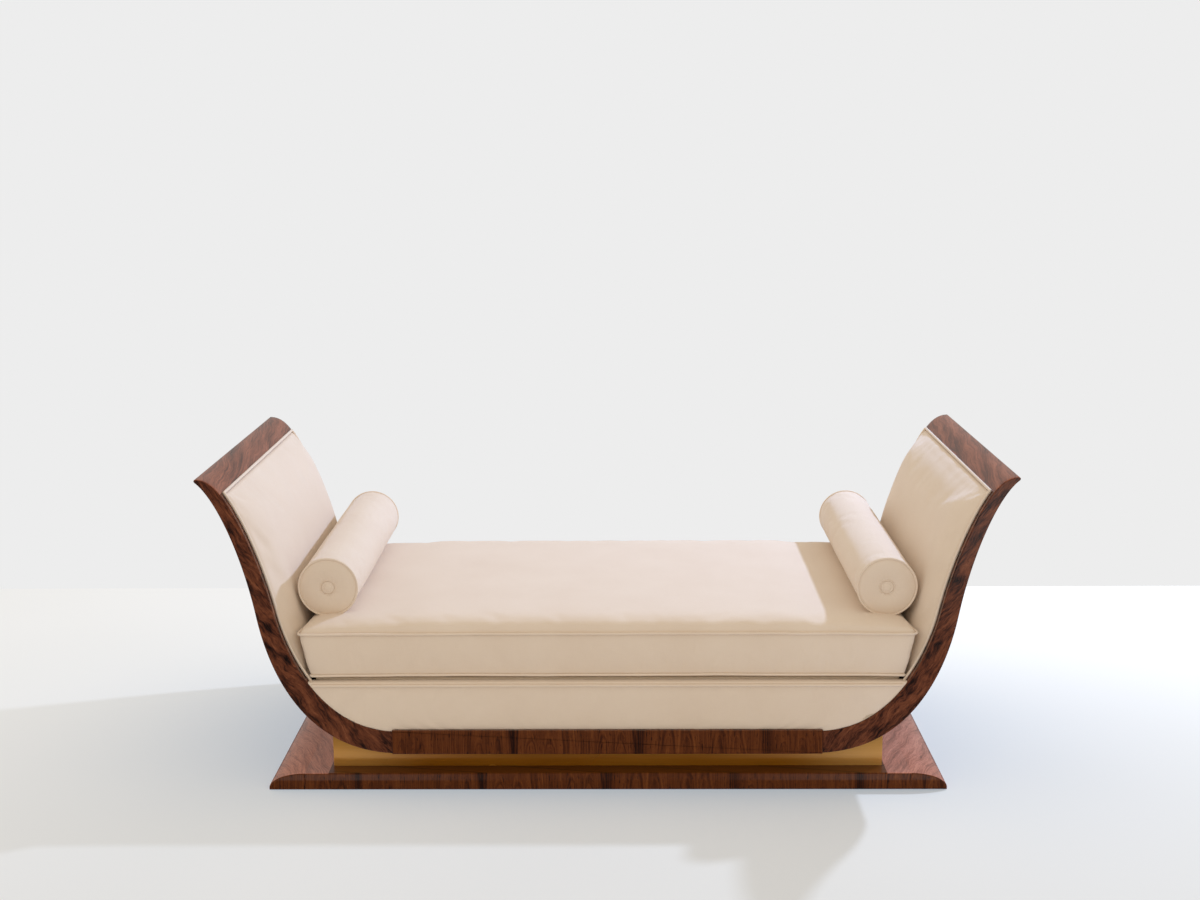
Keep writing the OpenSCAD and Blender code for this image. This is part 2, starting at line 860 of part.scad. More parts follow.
// Half the length over the cover's corners, at a share of the height
function cushion_half_at(level) = cushion_foot_half + (cushion_seam_half - cushion_foot_half) * level;

// The cushion's plan outline: corners stand out, and the sides are drawn in between them
function cushion_outline(level, inset) =
    let (a = cushion_half_at(level) - inset, b = cushion_half_depth - inset,
         out = cushion_side_bulge * 4 * level * (1 - level))
    concat(
        [for (s = long_side_shares) [s * a, -b + cushion_front_draw * (1 - pow(s, 4)) - out]],
        [for (s = short_side_shares) [a - cushion_end_draw * (1 - pow(s, 4)) + out, s * b]],
        [for (s = long_side_shares) [-s * a, b - cushion_front_draw * (1 - pow(s, 4)) + out]],
        [for (s = short_side_shares) [-a + cushion_end_draw * (1 - pow(s, 4)) - out, -s * b]]
    );

// Height of the top above its seam, from 0 at the seam to 1 in the middle
function crown_share(x, y) =
    let (u = min(1, abs(x) / cushion_half_at(1)), v = min(1, abs(y) / cushion_half_depth))
    sqrt(1 - pow(u, 16)) * sqrt(1 - pow(v, 12));

cushion_levels = [0, 0.05, 0.15, 0.4, 0.65, 0.88, 1];

// The side stands upright beside the bottom welt and leans out above it
function lean_level(level) =
    let (welt_share = 2 * cushion_welt_radius / cushion_thickness)
    max(0, (level - welt_share) / (1 - welt_share));

cushion_top_scales = [0.985, 0.95, 0.89, 0.78, 0.6, 0.35];

module cushion_cover() {
    edge = cushion_outline(1, welt_room);
    count = len(edge);
    side_rings = [for (level = cushion_levels)
        [for (p = cushion_outline(lean_level(level), welt_room))
            [p[0], p[1], cushion_bottom + cushion_thickness * level]]];
    top_rings = [for (scale = cushion_top_scales)
        [for (p = edge) [p[0] * scale, p[1] * scale,
            cushion_seam + cushion_crown * crown_share(p[0] * scale, p[1] * scale)]]];
    rings = concat(side_rings, top_rings);
    ring_count = len(rings);
    points = concat([for (r = rings) for (p = r) p],
        [[0, 0, cushion_bottom], [0, 0, cushion_seam + cushion_crown]]);
    walls = [for (i = [0:ring_count - 2]) for (j = [0:count - 1])
        let (k = (j + 1) % count)
        [i * count + j, (i + 1) * count + j, (i + 1) * count + k, i * count + k]];
    bottom_fan = [for (j = [0:count - 1]) [ring_count * count, j, (j + 1) % count]];
    top_fan = [for (j = [0:count - 1])
        [ring_count * count + 1, (ring_count - 1) * count + (j + 1) % count, (ring_count - 1) * count + j]];
    color(fabric_color)
        difference() {
            polyhedron(points = points, faces = concat(walls, bottom_fan, top_fan), convexity = 4);
            cushion_block(0);
        }
}

// The foam block, or with no gap the room for it in the cover
module cushion_block(gap) {
    half_x = cushion_half_at(0) - welt_room - cushion_end_draw - cover_thickness - gap;
    half_y = cushion_half_depth - welt_room - cushion_front_draw - cover_thickness - gap;
    translate([-half_x, -half_y, cushion_bottom + cover_thickness + gap])
        cube([2 * half_x, 2 * half_y, cushion_thickness - cover_thickness - 2 * gap]);
}

module cushion_core() {
    color(foam_color)
        cushion_block(seat_gap);
}

// Welt round the cushion's cover at a share of its height
module cushion_welt(level) {
    centre_line = cushion_outline(level, cushion_welt_radius);
    centre_height = cushion_bottom + cushion_welt_radius + (cushion_thickness - cushion_welt_radius) * level;
    count = len(centre_line);
    rings = [for (i = [0:count - 1])
        let (before = centre_line[(i + count - 1) % count], after = centre_line[(i + 1) % count],
             p = centre_line[i], run = (after - before) / norm(after - before))
        welt_ring([p[0], p[1], centre_height], cushion_welt_radius, [run[1], -run[0], 0], [0, 0, 1])];
    color(fabric_color)
        tube(rings, true);
}

// Bolsters

bolster_radius = bolster_diameter / 2;
bolster_offset = cushion_seam_half - bolster_inset;
bolster_end_crown = 6;
bolster_end_steps = 10;
bolster_welt_inset = cushion_welt_radius + seat_gap;

// Height at which a bolster clears the cushion's crowned top
bolster_height = seat_gap + max([for (share = [-1:0.05:1])
    cushion_seam + cushion_crown * crown_share(bolster_offset + share * bolster_radius, 0)
        + bolster_radius * sqrt(1 - share * share)]);

// Swelling of a bolster's end: a shallow dome with a dimple for the button
function end_swell(share) =
    let (button_shares = 2 * share * bolster_radius / button_diameter)
    bolster_end_crown * (1 - pow(share, 4)) - button_dimple * exp(-pow(button_shares, 2));

bolster_half = half_depth - bolster_setback - bolster_end_crown;
bolster_cover_radius = bolster_radius - cushion_welt_radius;
bolster_profile = concat(
    [[0, -bolster_half - end_swell(0)]],
    [for (i = [1:bolster_end_steps])
        let (share = i / bolster_end_steps)
        [share * (bolster_cover_radius - bolster_welt_inset), -bolster_half - end_swell(share)]],
    [[bolster_cover_radius, -bolster_half + 2 * cushion_welt_radius],
     [bolster_radius, -bolster_half + 4 * cushion_welt_radius],
     [bolster_radius, bolster_half - 4 * cushion_welt_radius],
     [bolster_cover_radius, bolster_half - 2 * cushion_welt_radius]],
    [for (i = [bolster_end_steps:-1:1])
        let (share = i / bolster_end_steps)
        [share * (bolster_cover_radius - bolster_welt_inset), bolster_half + end_swell(share)]],
    [[0, bolster_half + end_swell(0)]]
);

// Lays a revolved piece along the depth, where a bolster rests
module as_bolster(side) {
    shift = side > 0 ? bolster_shift_right : bolster_shift_left;
    translate([side * bolster_offset, shift, bolster_height])
        rotate([-90, 0, 0])
            children();
}

module bolster_block(gap) {
    block_half = bolster_half - cover_thickness - gap;
    translate([0, 0, -block_half])
        cylinder(r = bolster_radius - cover_thickness - gap, h = 2 * block_half);
}

module bolster_cover(side) {
    color(fabric_color)
        as_bolster(side)
            difference() {
                rotate_extrude()
                    polygon(bolster_profile);
                bolster_block(0);
            }
}

module bolster_core(side) {
    color(foam_color)
        as_bolster(side)
            bolster_block(seat_gap);
}

module bolster_welts(side) {
    color(fabric_color)
        as_bolster(side)
            for (end = [-1, 1]) {
                translate([0, 0, end * (bolster_half + seat_gap)])
                    rotate_extrude()
                        translate([bolster_radius - cushion_welt_radius, 0])
                            circle(r = cushion_welt_radius, $fn = 16);
            }
}

// Covered buttons: domes that sit in the dimples
button_height = 5;
button_steps = 8;
button_profile = concat(
    [[0, 0]],
    [for (i = [0:button_steps])
        let (turn = 90 * i / button_steps)
        [button_diameter / 2 * cos(turn), button_height * sin(turn)]]
);

module bolster_buttons(side) {
    button_seat = bolster_half + end_swell(button_diameter / bolster_diameter) + seat_gap;
    color(fabric_color)
        as_bolster(side)
            for (end = [0, 1]) {
                mirror([0, 0, end])
                    translate([0, 0, button_seat])
                        rotate_extrude()
                            polygon(button_profile);
            }
}

plinth_core();
plinth_end(-1);  // plinth_end_left
plinth_end(1);  // plinth_end_right
plinth_facing_strip(-1);  // plinth_facing_front
plinth_facing_strip(1);  // plinth_facing_back
riser_long(-1);  // riser_front
riser_long(1);  // riser_back
riser_end(-1);  // riser_left
riser_end(1);  // riser_right
riser_corner_blocks();
riser_bearers();
bottom_board();
apron(-1);  // apron_front
apron(1);  // apron_back
side_frame(-1, -1);  // side_frame_front_left
side_frame(1, -1);  // side_frame_front_right
side_frame(-1, 1);  // side_frame_back_left
side_frame(1, 1);  // side_frame_back_right
outer_shell(-1);  // outer_shell_left
outer_shell(1);  // outer_shell_right
arm_cap(-1);  // arm_cap_left
arm_cap(1);  // arm_cap_right
arm_board(-1);  // arm_board_left
arm_board(1);  // arm_board_right
arm_ribs(-1);  // arm_ribs_left
arm_ribs(1);  // arm_ribs_right
seat_rail(-1);  // seat_rail_front
seat_rail(1);  // seat_rail_back
end_rail(-1);  // end_rail_left
end_rail(1);  // end_rail_right
cross_rails();
frame_bolts();
base_screws();
panel_board(-1);  // panel_board_front
panel_board(1);  // panel_board_back
panel_cover(-1);  // panel_cover_front
panel_cover(1);  // panel_cover_back
panel_welt(-1);  // panel_welt_front
panel_welt(1);  // panel_welt_back
webbing_across();
webbing_along();
seat_deck();
arm_pad(-1);  // arm_pad_left
arm_pad(1);  // arm_pad_right
arm_welt(-1);  // arm_welt_left
arm_welt(1);  // arm_welt_right
cushion_cover();
cushion_core();
cushion_welt(1);  // cushion_welt_top
cushion_welt(0);  // cushion_welt_bottom
bolster_cover(-1);  // bolster_cover_left
bolster_core(-1);  // bolster_core_left
bolster_welts(-1);  // bolster_welts_left
bolster_buttons(-1);  // bolster_buttons_left
bolster_cover(1);  // bolster_cover_right
bolster_core(1);  // bolster_core_right
bolster_welts(1);  // bolster_welts_right
bolster_buttons(1);  // bolster_buttons_right
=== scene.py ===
# %% [markdown]
# # A recamier in lacquered veneer and cream cloth
#
# This lesson dresses a daybed with two flared arms. The construction is already there: every board,
# rail and block of foam stands in the frame that the next cell loads, at its real size. What is missing
# is what a maker would do last: veneer the show-wood, lacquer it, pad the arms, sew the covers and
# lay the cushion and bolsters in place. Everything is in metres: X runs along the length, Y to the
# back and Z up from the floor.

# %% Load the frame
import json
import math

import bmesh
import bpy
import numpy as np
from mathutils import Matrix, Vector, noise


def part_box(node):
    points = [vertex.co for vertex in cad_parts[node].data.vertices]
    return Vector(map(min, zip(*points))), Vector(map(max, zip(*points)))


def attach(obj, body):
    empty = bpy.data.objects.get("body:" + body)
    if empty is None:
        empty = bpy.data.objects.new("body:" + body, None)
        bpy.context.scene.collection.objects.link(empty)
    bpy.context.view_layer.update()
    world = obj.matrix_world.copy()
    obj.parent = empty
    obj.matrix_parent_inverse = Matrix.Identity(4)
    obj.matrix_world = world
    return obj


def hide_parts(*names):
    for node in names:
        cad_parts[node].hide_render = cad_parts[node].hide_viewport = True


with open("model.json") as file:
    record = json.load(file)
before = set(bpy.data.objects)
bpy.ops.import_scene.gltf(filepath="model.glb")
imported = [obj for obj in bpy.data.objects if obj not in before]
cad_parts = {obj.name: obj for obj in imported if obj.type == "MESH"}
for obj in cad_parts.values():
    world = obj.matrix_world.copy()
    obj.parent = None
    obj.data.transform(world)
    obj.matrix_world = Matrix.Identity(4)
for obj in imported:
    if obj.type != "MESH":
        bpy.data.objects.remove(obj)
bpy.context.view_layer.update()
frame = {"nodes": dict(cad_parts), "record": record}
scene = bpy.context.scene

# %% [markdown]
# ## Sizes
#
# A dressed piece has to fit its board to a fraction of a millimetre, so its sizes are read from the
# frame and not typed again. Only the sizes that no box can tell, such as the lean of the arm's
# curve, are written here.

# %% Sizes read from the frame
sides = ((-1, "left"), (1, "right"))
fronts = ((-1, "front"), (1, "back"))
side_low, side_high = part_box("side_frame_front_right")
apron_low, apron_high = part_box("apron_front")
plinth_low, plinth_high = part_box("plinth_end_right")
panel_low, panel_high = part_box("panel_cover_front")
deck_low, deck_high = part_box("seat_deck")
half_length = round(side_high.x, 3)
half_depth = -side_low.y
inside_half = -side_high.y
arm_height = side_high.z
apron_half = apron_high.x
body_bottom = apron_low.z
print("length over the arms:", round(2 * half_length, 3), "depth:", round(2 * half_depth, 3))

# %% [markdown]
# ## The arm's profile
#
# Seen from the front, the side frame is a sweeping band: it leaves the apron almost level, turns up
# to its steepest point at the waist, and flares outward to a thin tip. Each edge is a pair of cubic
# curves that meet at the waist with the same lean, so that no kink shows. A curve of that kind needs
# only its ends, its leans in degrees and how far the leans carry, which is how a maker would draw it
# with a bent lath.

# %% Curves of the side frame
frame_end_height = 0.057
waist_drop, waist_inset, waist_width = 0.347, 0.136, 0.046
cap_width, cap_drop = 0.063, 0.037
nose_radius, nose_steps = 0.0045, 12
outer_lean, inner_lean, joint_lean, tip_lean, cap_edge_lean = 80, 77.6, 3, 38.7, 53
carry_shares = {"outer_low": (0.68, 0.41), "outer_high": (0.44, 0.19), "inner_low": (0.70, 0.20),
                "inner_high": (0.52, 0.15), "crest": (0.55, 0.45)}
curve_steps = 36


def heading(angle):
    """Direction of a lean, in degrees above level."""
    return np.array([math.cos(math.radians(angle)), math.sin(math.radians(angle))])


def curve_between(name, start, start_lean, end, end_lean, start_span, end_span):
    """Cubic curve whose leans carry for shares of the spans that it covers."""
    start, end = np.array(start), np.array(end)
    shares = carry_shares[name]
    return np.array([start, start + shares[0] * start_span * heading(start_lean),
                     end - shares[1] * end_span * heading(end_lean), end])


def curve_at(curve, t):
    """Point on a curve."""
    return ((1 - t) ** 3 * curve[0] + 3 * (1 - t) ** 2 * t * curve[1]
            + 3 * (1 - t) * t * t * curve[2] + t ** 3 * curve[3])


def heading_at(curve, t):
    """Direction of a curve, of length 1."""
    run = ((1 - t) ** 2 * (curve[1] - curve[0]) + 2 * (1 - t) * t * (curve[2] - curve[1])
           + t * t * (curve[3] - curve[2]))
    return run / np.linalg.norm(run)


def beside(curve, t, gap):
    """Point beside a curve, on the side of the seat when the gap is positive."""
    along = heading_at(curve, t)
    return curve_at(curve, t) + gap * np.array([-along[1], along[0]])


def stretch(curve, gap=0.0, start=0.0, end=1.0, steps=curve_steps):
    """Points beside one stretch of a curve."""
    return [beside(curve, start + (end - start) * i / steps, gap) for i in range(steps + 1)]


def where(test):
    """Place on a curve at which a rising test changes from false to true."""
    low, high = 0.0, 1.0
    for _ in range(30):
        middle = (low + high) / 2
        low, high = (low, middle) if test(middle) else (middle, high)
    return (low + high) / 2


waist_x = half_length - waist_inset
waist_z = arm_height - waist_drop
inner_waist_x = waist_x - waist_width
inner_start_z = body_bottom + frame_end_height
nose_centre = np.array([half_length - nose_radius, arm_height - nose_radius])
cap_edge = np.array([half_length - cap_width, arm_height - cap_drop])
outer_low = curve_between("outer_low", (apron_half, body_bottom), joint_lean, (waist_x, waist_z), outer_lean,
                          waist_x - apron_half, waist_z - body_bottom)
outer_high = curve_between("outer_high", (waist_x, waist_z), outer_lean,
                           nose_centre + nose_radius * heading(tip_lean - 90), tip_lean,
                           waist_drop, waist_drop)
inner_low = curve_between("inner_low", (apron_half, inner_start_z), joint_lean, (inner_waist_x, waist_z),
                          inner_lean, inner_waist_x - apron_half, waist_z - inner_start_z)
inner_high = curve_between("inner_high", (inner_waist_x, waist_z), inner_lean, cap_edge, cap_edge_lean,
                           cap_edge[1] - waist_z, cap_edge[1] - waist_z)
crest = curve_between("crest", cap_edge, cap_edge_lean, nose_centre + nose_radius * heading(90), 0,
                      cap_drop, cap_width)
nose_points = [nose_centre + nose_radius * heading(tip_lean - 90 + (180 - tip_lean) * i / nose_steps)
               for i in range(1, nose_steps)]


def round_the_arm(outer=curve_steps, over=curve_steps, inner=curve_steps):
    """The arm's whole edge: up the outside, over the tip and the crest, and down the inside."""
    return np.array(stretch(outer_low, steps=outer) + stretch(outer_high, steps=outer)[1:] + nose_points
                    + stretch(crest, steps=over)[::-1] + stretch(inner_high, steps=inner)[::-1][1:]
                    + stretch(inner_low, steps=inner)[::-1][1:])


side_frame_outline = round_the_arm()
print("points round a side frame:", len(side_frame_outline))

# %% [markdown]
# The veneer on the cap, the tip and the outside of the arm is one sheet, so its grain has to run on
# from board to board. For that, every point on those faces needs one number: how far along the sheet
# it lies. The helpers below measure it along the whole edge of the arm.


# %% Distance along a line
def run_along(line):
    """Distance from the start of a line to each of its points."""
    return np.concatenate([[0.0], np.cumsum(np.linalg.norm(np.diff(line, axis=0), axis=1))])


def run_at(line, runs, x, z):
    """Distance along a line on the right at the point of it that lies nearest, on either side."""
    return runs[np.argmin((line[:, 0] - abs(x)) ** 2 + (line[:, 1] - z) ** 2)]


sheet_line = round_the_arm(200, 80, 120)
sheet_runs = run_along(sheet_line)
inner_edge = np.array(stretch(inner_low) + stretch(inner_high)[1:])


def clear_half_at(z):
    """Half the clear length between the side frames at a height."""
    return float(np.interp(z, inner_edge[:, 1], inner_edge[:, 0]))


print("sheet length:", round(sheet_runs[-1], 3), "clear length at the deck:",
      round(2 * clear_half_at(deck_high.z), 3))

# %% [markdown]
# ## The camera and the room
#
# The photograph was taken from just above the seat's level, a little over four metres away. The
# camera's place and lens came from fitting the plinth, the arms and the cushion to the picture, so
# the render can be laid over it. Its frame is 4 to 3.

# %% Camera
camera_place = Vector((0.0316, -4.2101, 1.6217))
camera_turn, camera_dip, camera_roll = 0.0120, 0.1972, -0.0057
ahead = Matrix.Rotation(camera_turn, 3, "Z") @ Vector((0, math.cos(camera_dip), -math.sin(camera_dip)))
right = Matrix.Rotation(camera_turn, 3, "Z") @ Vector((1, 0, 0))
up = right.cross(ahead)
rolled_right = math.cos(camera_roll) * right + math.sin(camera_roll) * up
rolled_up = math.cos(camera_roll) * up - math.sin(camera_roll) * right
camera = bpy.data.objects.new("camera", bpy.data.cameras.new("camera"))
camera.data.lens = 48
camera.data.sensor_width = 36
camera.matrix_world = Matrix.Translation(camera_place) @ Matrix(
    (rolled_right, rolled_up, -ahead)).transposed().to_4x4()
scene.collection.objects.link(camera)
scene.camera = camera
scene.view_settings.view_transform = "Standard"
print("camera stands", round(-camera_place.y - half_depth, 2), "m in front of the side frames")

# %% [markdown]
# A material is a small network of nodes. Written out call by call it hides what it does, so a few
# helpers keep it short: they add a node with its settings and links, a sum, a mix, a ramp, a noise.


# %% Helpers for node networks
def node(tree, kind, inputs=None, **settings):
    """Adds a node. An input's value is a number, a colour or another node's output."""
    made = tree.nodes.new(kind)
    for name, value in settings.items():
        setattr(made, name, value)
    for name, value in (inputs or {}).items():
        if isinstance(value, bpy.types.NodeSocket):
            tree.links.new(value, made.inputs[name])
        else:
            made.inputs[name].default_value = value
    return made


def calc(tree, operation, *values):
    """Adds a sum, and returns its result."""
    return node(tree, "ShaderNodeMath", dict(enumerate(values)), operation=operation).outputs[0]


def total(tree, *terms):
    """Adds up values, each times its weight."""
    result = 0.0
    for value, weight in terms:
        result = calc(tree, "MULTIPLY_ADD", value, weight, result)
    return result


def mixed(tree, share, first, second):
    """Adds a mix of two colours."""
    mixer = node(tree, "ShaderNodeMix", data_type="RGBA")
    for name, value in (("Factor_Float", share), ("A_Color", first), ("B_Color", second)):
        socket = next(s for s in mixer.inputs if s.identifier == name)
        if isinstance(value, bpy.types.NodeSocket):
            tree.links.new(value, socket)
        else:
            socket.default_value = value
    return next(s for s in mixer.outputs if s.identifier == "Result_Color")


def ramp(tree, value, stops):
    """Adds a colour ramp of (place, colour) stops."""
    made = node(tree, "ShaderNodeValToRGB", {"Fac": value})
    while len(made.color_ramp.elements) < len(stops):
        made.color_ramp.elements.new(0.5)
    for element, (place, colour) in zip(made.color_ramp.elements, stops):
        element.position = place
        element.color = (*colour, 1)
    return made.outputs["Color"]


def smooth_range(tree, value, low, high, first, last):
    """Adds a soft step from one value to another."""
    return node(tree, "ShaderNodeMapRange", {"Value": value, "From Min": low, "From Max": high,
                                             "To Min": first, "To Max": last},
                interpolation_type="SMOOTHSTEP").outputs[0]


def object_place(tree):
    """A point's place in the room, since every object stands at the origin."""
    return node(tree, "ShaderNodeTexCoord").outputs["Object"]


def map_place(tree, name):
    """A point's place on the sheet of veneer or cloth, from its UV map in metres."""
    return node(tree, "ShaderNodeUVMap", uv_map=name).outputs[0]


def parts(tree, place):
    """The three parts of a place."""
    return node(tree, "ShaderNodeSeparateXYZ", {0: place}).outputs


def grain_noise(tree, scales, place, detail=2.0, roughness=0.5):
    """Noise whose scale differs along and across, as a grain's does."""
    stretched = node(tree, "ShaderNodeVectorMath", {0: place, 1: scales}, operation="MULTIPLY").outputs[0]
    return node(tree, "ShaderNodeTexNoise", {"Vector": stretched, "Scale": 1.0, "Detail": detail,
                                             "Roughness": roughness}).outputs[0]


def wander(tree, value, reach, scales, place, detail=2.0):
    """A value that noise moves by up to a reach each way."""
    moved = calc(tree, "SUBTRACT", grain_noise(tree, scales, place, detail), 0.5)
    return calc(tree, "MULTIPLY_ADD", moved, 2 * reach, value)


def bump(tree, height, strength, depth):
    """Fine relief for a shader's normal."""
    relief = {"Height": height, "Strength": strength, "Distance": depth}
    return node(tree, "ShaderNodeBump", relief).outputs[0]


def either(tree, share, first, second):
    """Adds a mix of two shaders."""
    return node(tree, "ShaderNodeMixShader", {0: share, 1: first, 2: second}).outputs[0]


def new_material(name):
    """A material with an empty tree."""
    made = bpy.data.materials.new(name)
    made.use_nodes = True
    made.node_tree.nodes.clear()
    return made, made.node_tree


def shade(tree, inputs):
    """Closes a material's tree with its shader."""
    shader = node(tree, "ShaderNodeBsdfPrincipled", inputs)
    node(tree, "ShaderNodeOutputMaterial", {"Surface": shader.outputs[0]})


# %% [markdown]
# The studio is a white room with one bare lamp behind the object on the right. It stands near enough
# for its shadows to fan out over the floor, and its light is cooler than what the walls send back.
# Lacquer is a mirror, so it matters what stands round it: a pale wall behind, and a dark room behind
# the camera. The sky therefore has three looks, one for the camera, one for the lacquer, and one that
# lights the cloth.

# %% Room and key light
white = (1, 1, 1, 1)
wall_tone = 0.847
room_light, room_strength = (1.03, 0.965, 0.895, 1), 0.81
mirrored_colour, mirrored_front, mirrored_back = (1.0, 0.90, 0.84, 1), 0.06, 0.38
key_place = Vector((2.592, 1.671, 2.819))
key_colour, key_strength, key_size = (0.74, 1.01, 1.72), 1.60, 0.085
seat_middle = Vector((0, 0, 0.43))

world = bpy.data.worlds.new("studio")
scene.world = world
world.use_nodes = True
sky = world.node_tree
sky.nodes.clear()
rays = node(sky, "ShaderNodeLightPath").outputs
sky_back = parts(sky, node(sky, "ShaderNodeTexCoord").outputs["Generated"])[1]
wall, mirrored_room, light = (
    node(sky, "ShaderNodeBackground", {"Color": colour, "Strength": strength}).outputs[0]
    for colour, strength in (
        ((wall_tone, wall_tone, wall_tone, 1), 1.0),
        (mirrored_colour, smooth_range(sky, sky_back, -0.35, 0.45, mirrored_front, mirrored_back)),
        (room_light, room_strength)))
seen = calc(sky, "MAXIMUM", rays["Is Camera Ray"], rays["Is Transmission Ray"])
sky_look = either(sky, seen, either(sky, rays["Is Glossy Ray"], light, mirrored_room), wall)
node(sky, "ShaderNodeOutputWorld", {"Surface": sky_look})

key = bpy.data.objects.new("key_light", bpy.data.lights.new("key_light", "POINT"))
key.location = key_place
key.data.energy = 4 * math.pi * key_strength * (key_place - seat_middle).length ** 2
key.data.shadow_soft_size = key_size
key.data.color = key_colour
key.visible_camera = False
key.visible_glossy = False
scene.collection.objects.link(key)
print("key light stands", round(key_place.length, 2), "m from the middle of the floor")

# %% [markdown]
# ## The floor
#
# One large sheet, lit by the lamp and the room, with a share of its own tone that the camera alone
# sees. That share keeps the shadow as pale as in the photograph. It is also painted light: darker at the
# front right and lighter at the back left. It is bluish where the sheet's own colour is warm, so that the
# sheet stays grey both in the cool lamp light and in its shade. Beyond a straight line the sheet takes the
# wall's tone, which gives the line between floor and wall without a wall that would hide the object from
# behind. What the lacquer mirrors of the floor is a painted reflection of its own: dark in front, pale
# behind, with a painted bright patch at the right front and a painted glow in front of the plinth,
# brightest toward its ends.

# %% Floor
floor_reach = 14.0
wall_line = 1.37
# Tones of the camera-only share, painted light: darker at the front right, lighter at the back left.
glow_slant = -0.65
painted_light_near, painted_light_far = (0.088, 0.188, 0.298, 1), (0.232, 0.332, 0.442, 1)
plinth_glow_end = -0.50
floor_material, tree = new_material("studio_floor")
place = object_place(tree)
across, depth = parts(tree, place)[0], parts(tree, place)[1]
rays = node(tree, "ShaderNodeLightPath").outputs
seen = rays["Is Camera Ray"]
mottle = grain_noise(tree, (1.5, 1.5, 1.5), place, detail=1.0)
seen_tone = ramp(tree, mottle, [(0.3, (0.685, 0.575, 0.415)), (0.7, (0.695, 0.585, 0.425))])
sheet = node(tree, "ShaderNodeBsdfPrincipled", {
    "Base Color": mixed(tree, seen, (0.80, 0.80, 0.80, 1), seen_tone), "Roughness": 0.8,
    "Specular IOR Level": 0.0}).outputs[0]
# Painted light: the camera-only tone runs from darker at the front right to lighter at the back left.
far_left = calc(tree, "MULTIPLY_ADD", across, glow_slant, depth)
painted_floor_light = mixed(tree, smooth_range(tree, far_left, -1.6, 1.6, 0.0, 1.0), painted_light_near, painted_light_far)
glow = node(tree, "ShaderNodeEmission", {"Color": painted_floor_light, "Strength": seen}).outputs[0]
lit_sheet = node(tree, "ShaderNodeAddShader", {0: sheet, 1: glow}).outputs[0]
wall_glow = node(tree, "ShaderNodeEmission", {"Color": white, "Strength": wall_tone}).outputs[0]
on_wall = calc(tree, "MULTIPLY", calc(tree, "GREATER_THAN", depth, wall_line), seen)
# Painted reflection: what the lacquer mirrors is dark in front and pale behind, with a bright patch at the
# right front and a glow in front of the plinth, brightest toward its ends.
mirrored_floor = smooth_range(tree, depth, -0.4, 0.9, 0.04, 0.42)
reflected_patch_side = smooth_range(tree, across, 0.5, 1.7, 0.0, 1.0)
reflected_patch_depth = smooth_range(tree, depth, -3.2, -0.8, 0.65, 0.0)
mirrored_floor = calc(tree, "MULTIPLY_ADD", reflected_patch_side, reflected_patch_depth, mirrored_floor)
near_ends = smooth_range(tree, calc(tree, "ABSOLUTE", across), 0.2, 0.65, 0.06, 0.42)
near_plinth = calc(tree, "MULTIPLY", smooth_range(tree, depth, -0.66, -0.56, 0.0, 1.0),
                   calc(tree, "LESS_THAN", depth, plinth_glow_end))
mirrored_floor = calc(tree, "MULTIPLY_ADD", near_ends, near_plinth, mirrored_floor)
mirror_glow = node(tree, "ShaderNodeEmission", {"Color": white, "Strength": mirrored_floor}).outputs[0]
floor_look = either(tree, rays["Is Glossy Ray"], either(tree, on_wall, lit_sheet, wall_glow), mirror_glow)
node(tree, "ShaderNodeOutputMaterial", {"Surface": floor_look})

floor_mesh = bpy.data.meshes.new("studio_floor")
corners = [(-1, -1), (1, -1), (1, 1), (-1, 1)]
floor_mesh.from_pydata([(x * floor_reach, y * floor_reach, 0.0) for x, y in corners], [], [(0, 1, 2, 3)])
floor_mesh.materials.append(floor_material)
floor = bpy.data.objects.new("studio_floor", floor_mesh)
scene.collection.objects.link(floor)

# %% [markdown]
# ## Rosewood veneer
#
# The show-wood is a reddish brown rosewood under thick gloss lacquer. On the apron and the plinth its
# leaves stand upright and are laid like the pages of a book, so each leaf mirrors its neighbour: fine
# upright lines, a few narrow pointed arches, and a dark band where two leaves meet. On the arms one
# sheet follows the sweep, with restless streaks and near-black patches. All of it is worked out from
# the veneer's own UV map, in metres, where u runs along the grain and v across it.

# %% Veneer materials
leaf_width = 0.158
pore_scales = (110.0, 1500.0, 1.0)
pore_colour = (0.010, 0.003, 0.002, 1)


def lacquered(tree, tone, tones, warped):
    """Turns a figure from 0 to 1 into lacquered wood, with open pores under the gloss."""
    pores = grain_noise(tree, pore_scales, warped, 1.0)
    pore_mask = calc(tree, "MULTIPLY", calc(tree, "LESS_THAN", pores, 0.37), 0.5)
    peel = grain_noise(tree, (260.0, 260.0, 260.0), object_place(tree), 1.0)
    shade(tree, {"Base Color": mixed(tree, pore_mask, ramp(tree, tone, tones), pore_colour),
                 "Roughness": 0.42, "Specular IOR Level": 0.1, "Normal": bump(tree, pores, 0.12, 0.0004),
                 "Coat Weight": 1.0, "Coat Roughness": 0.05, "Coat IOR": 1.45,
                 "Coat Normal": bump(tree, peel, 0.04, 0.0006)})


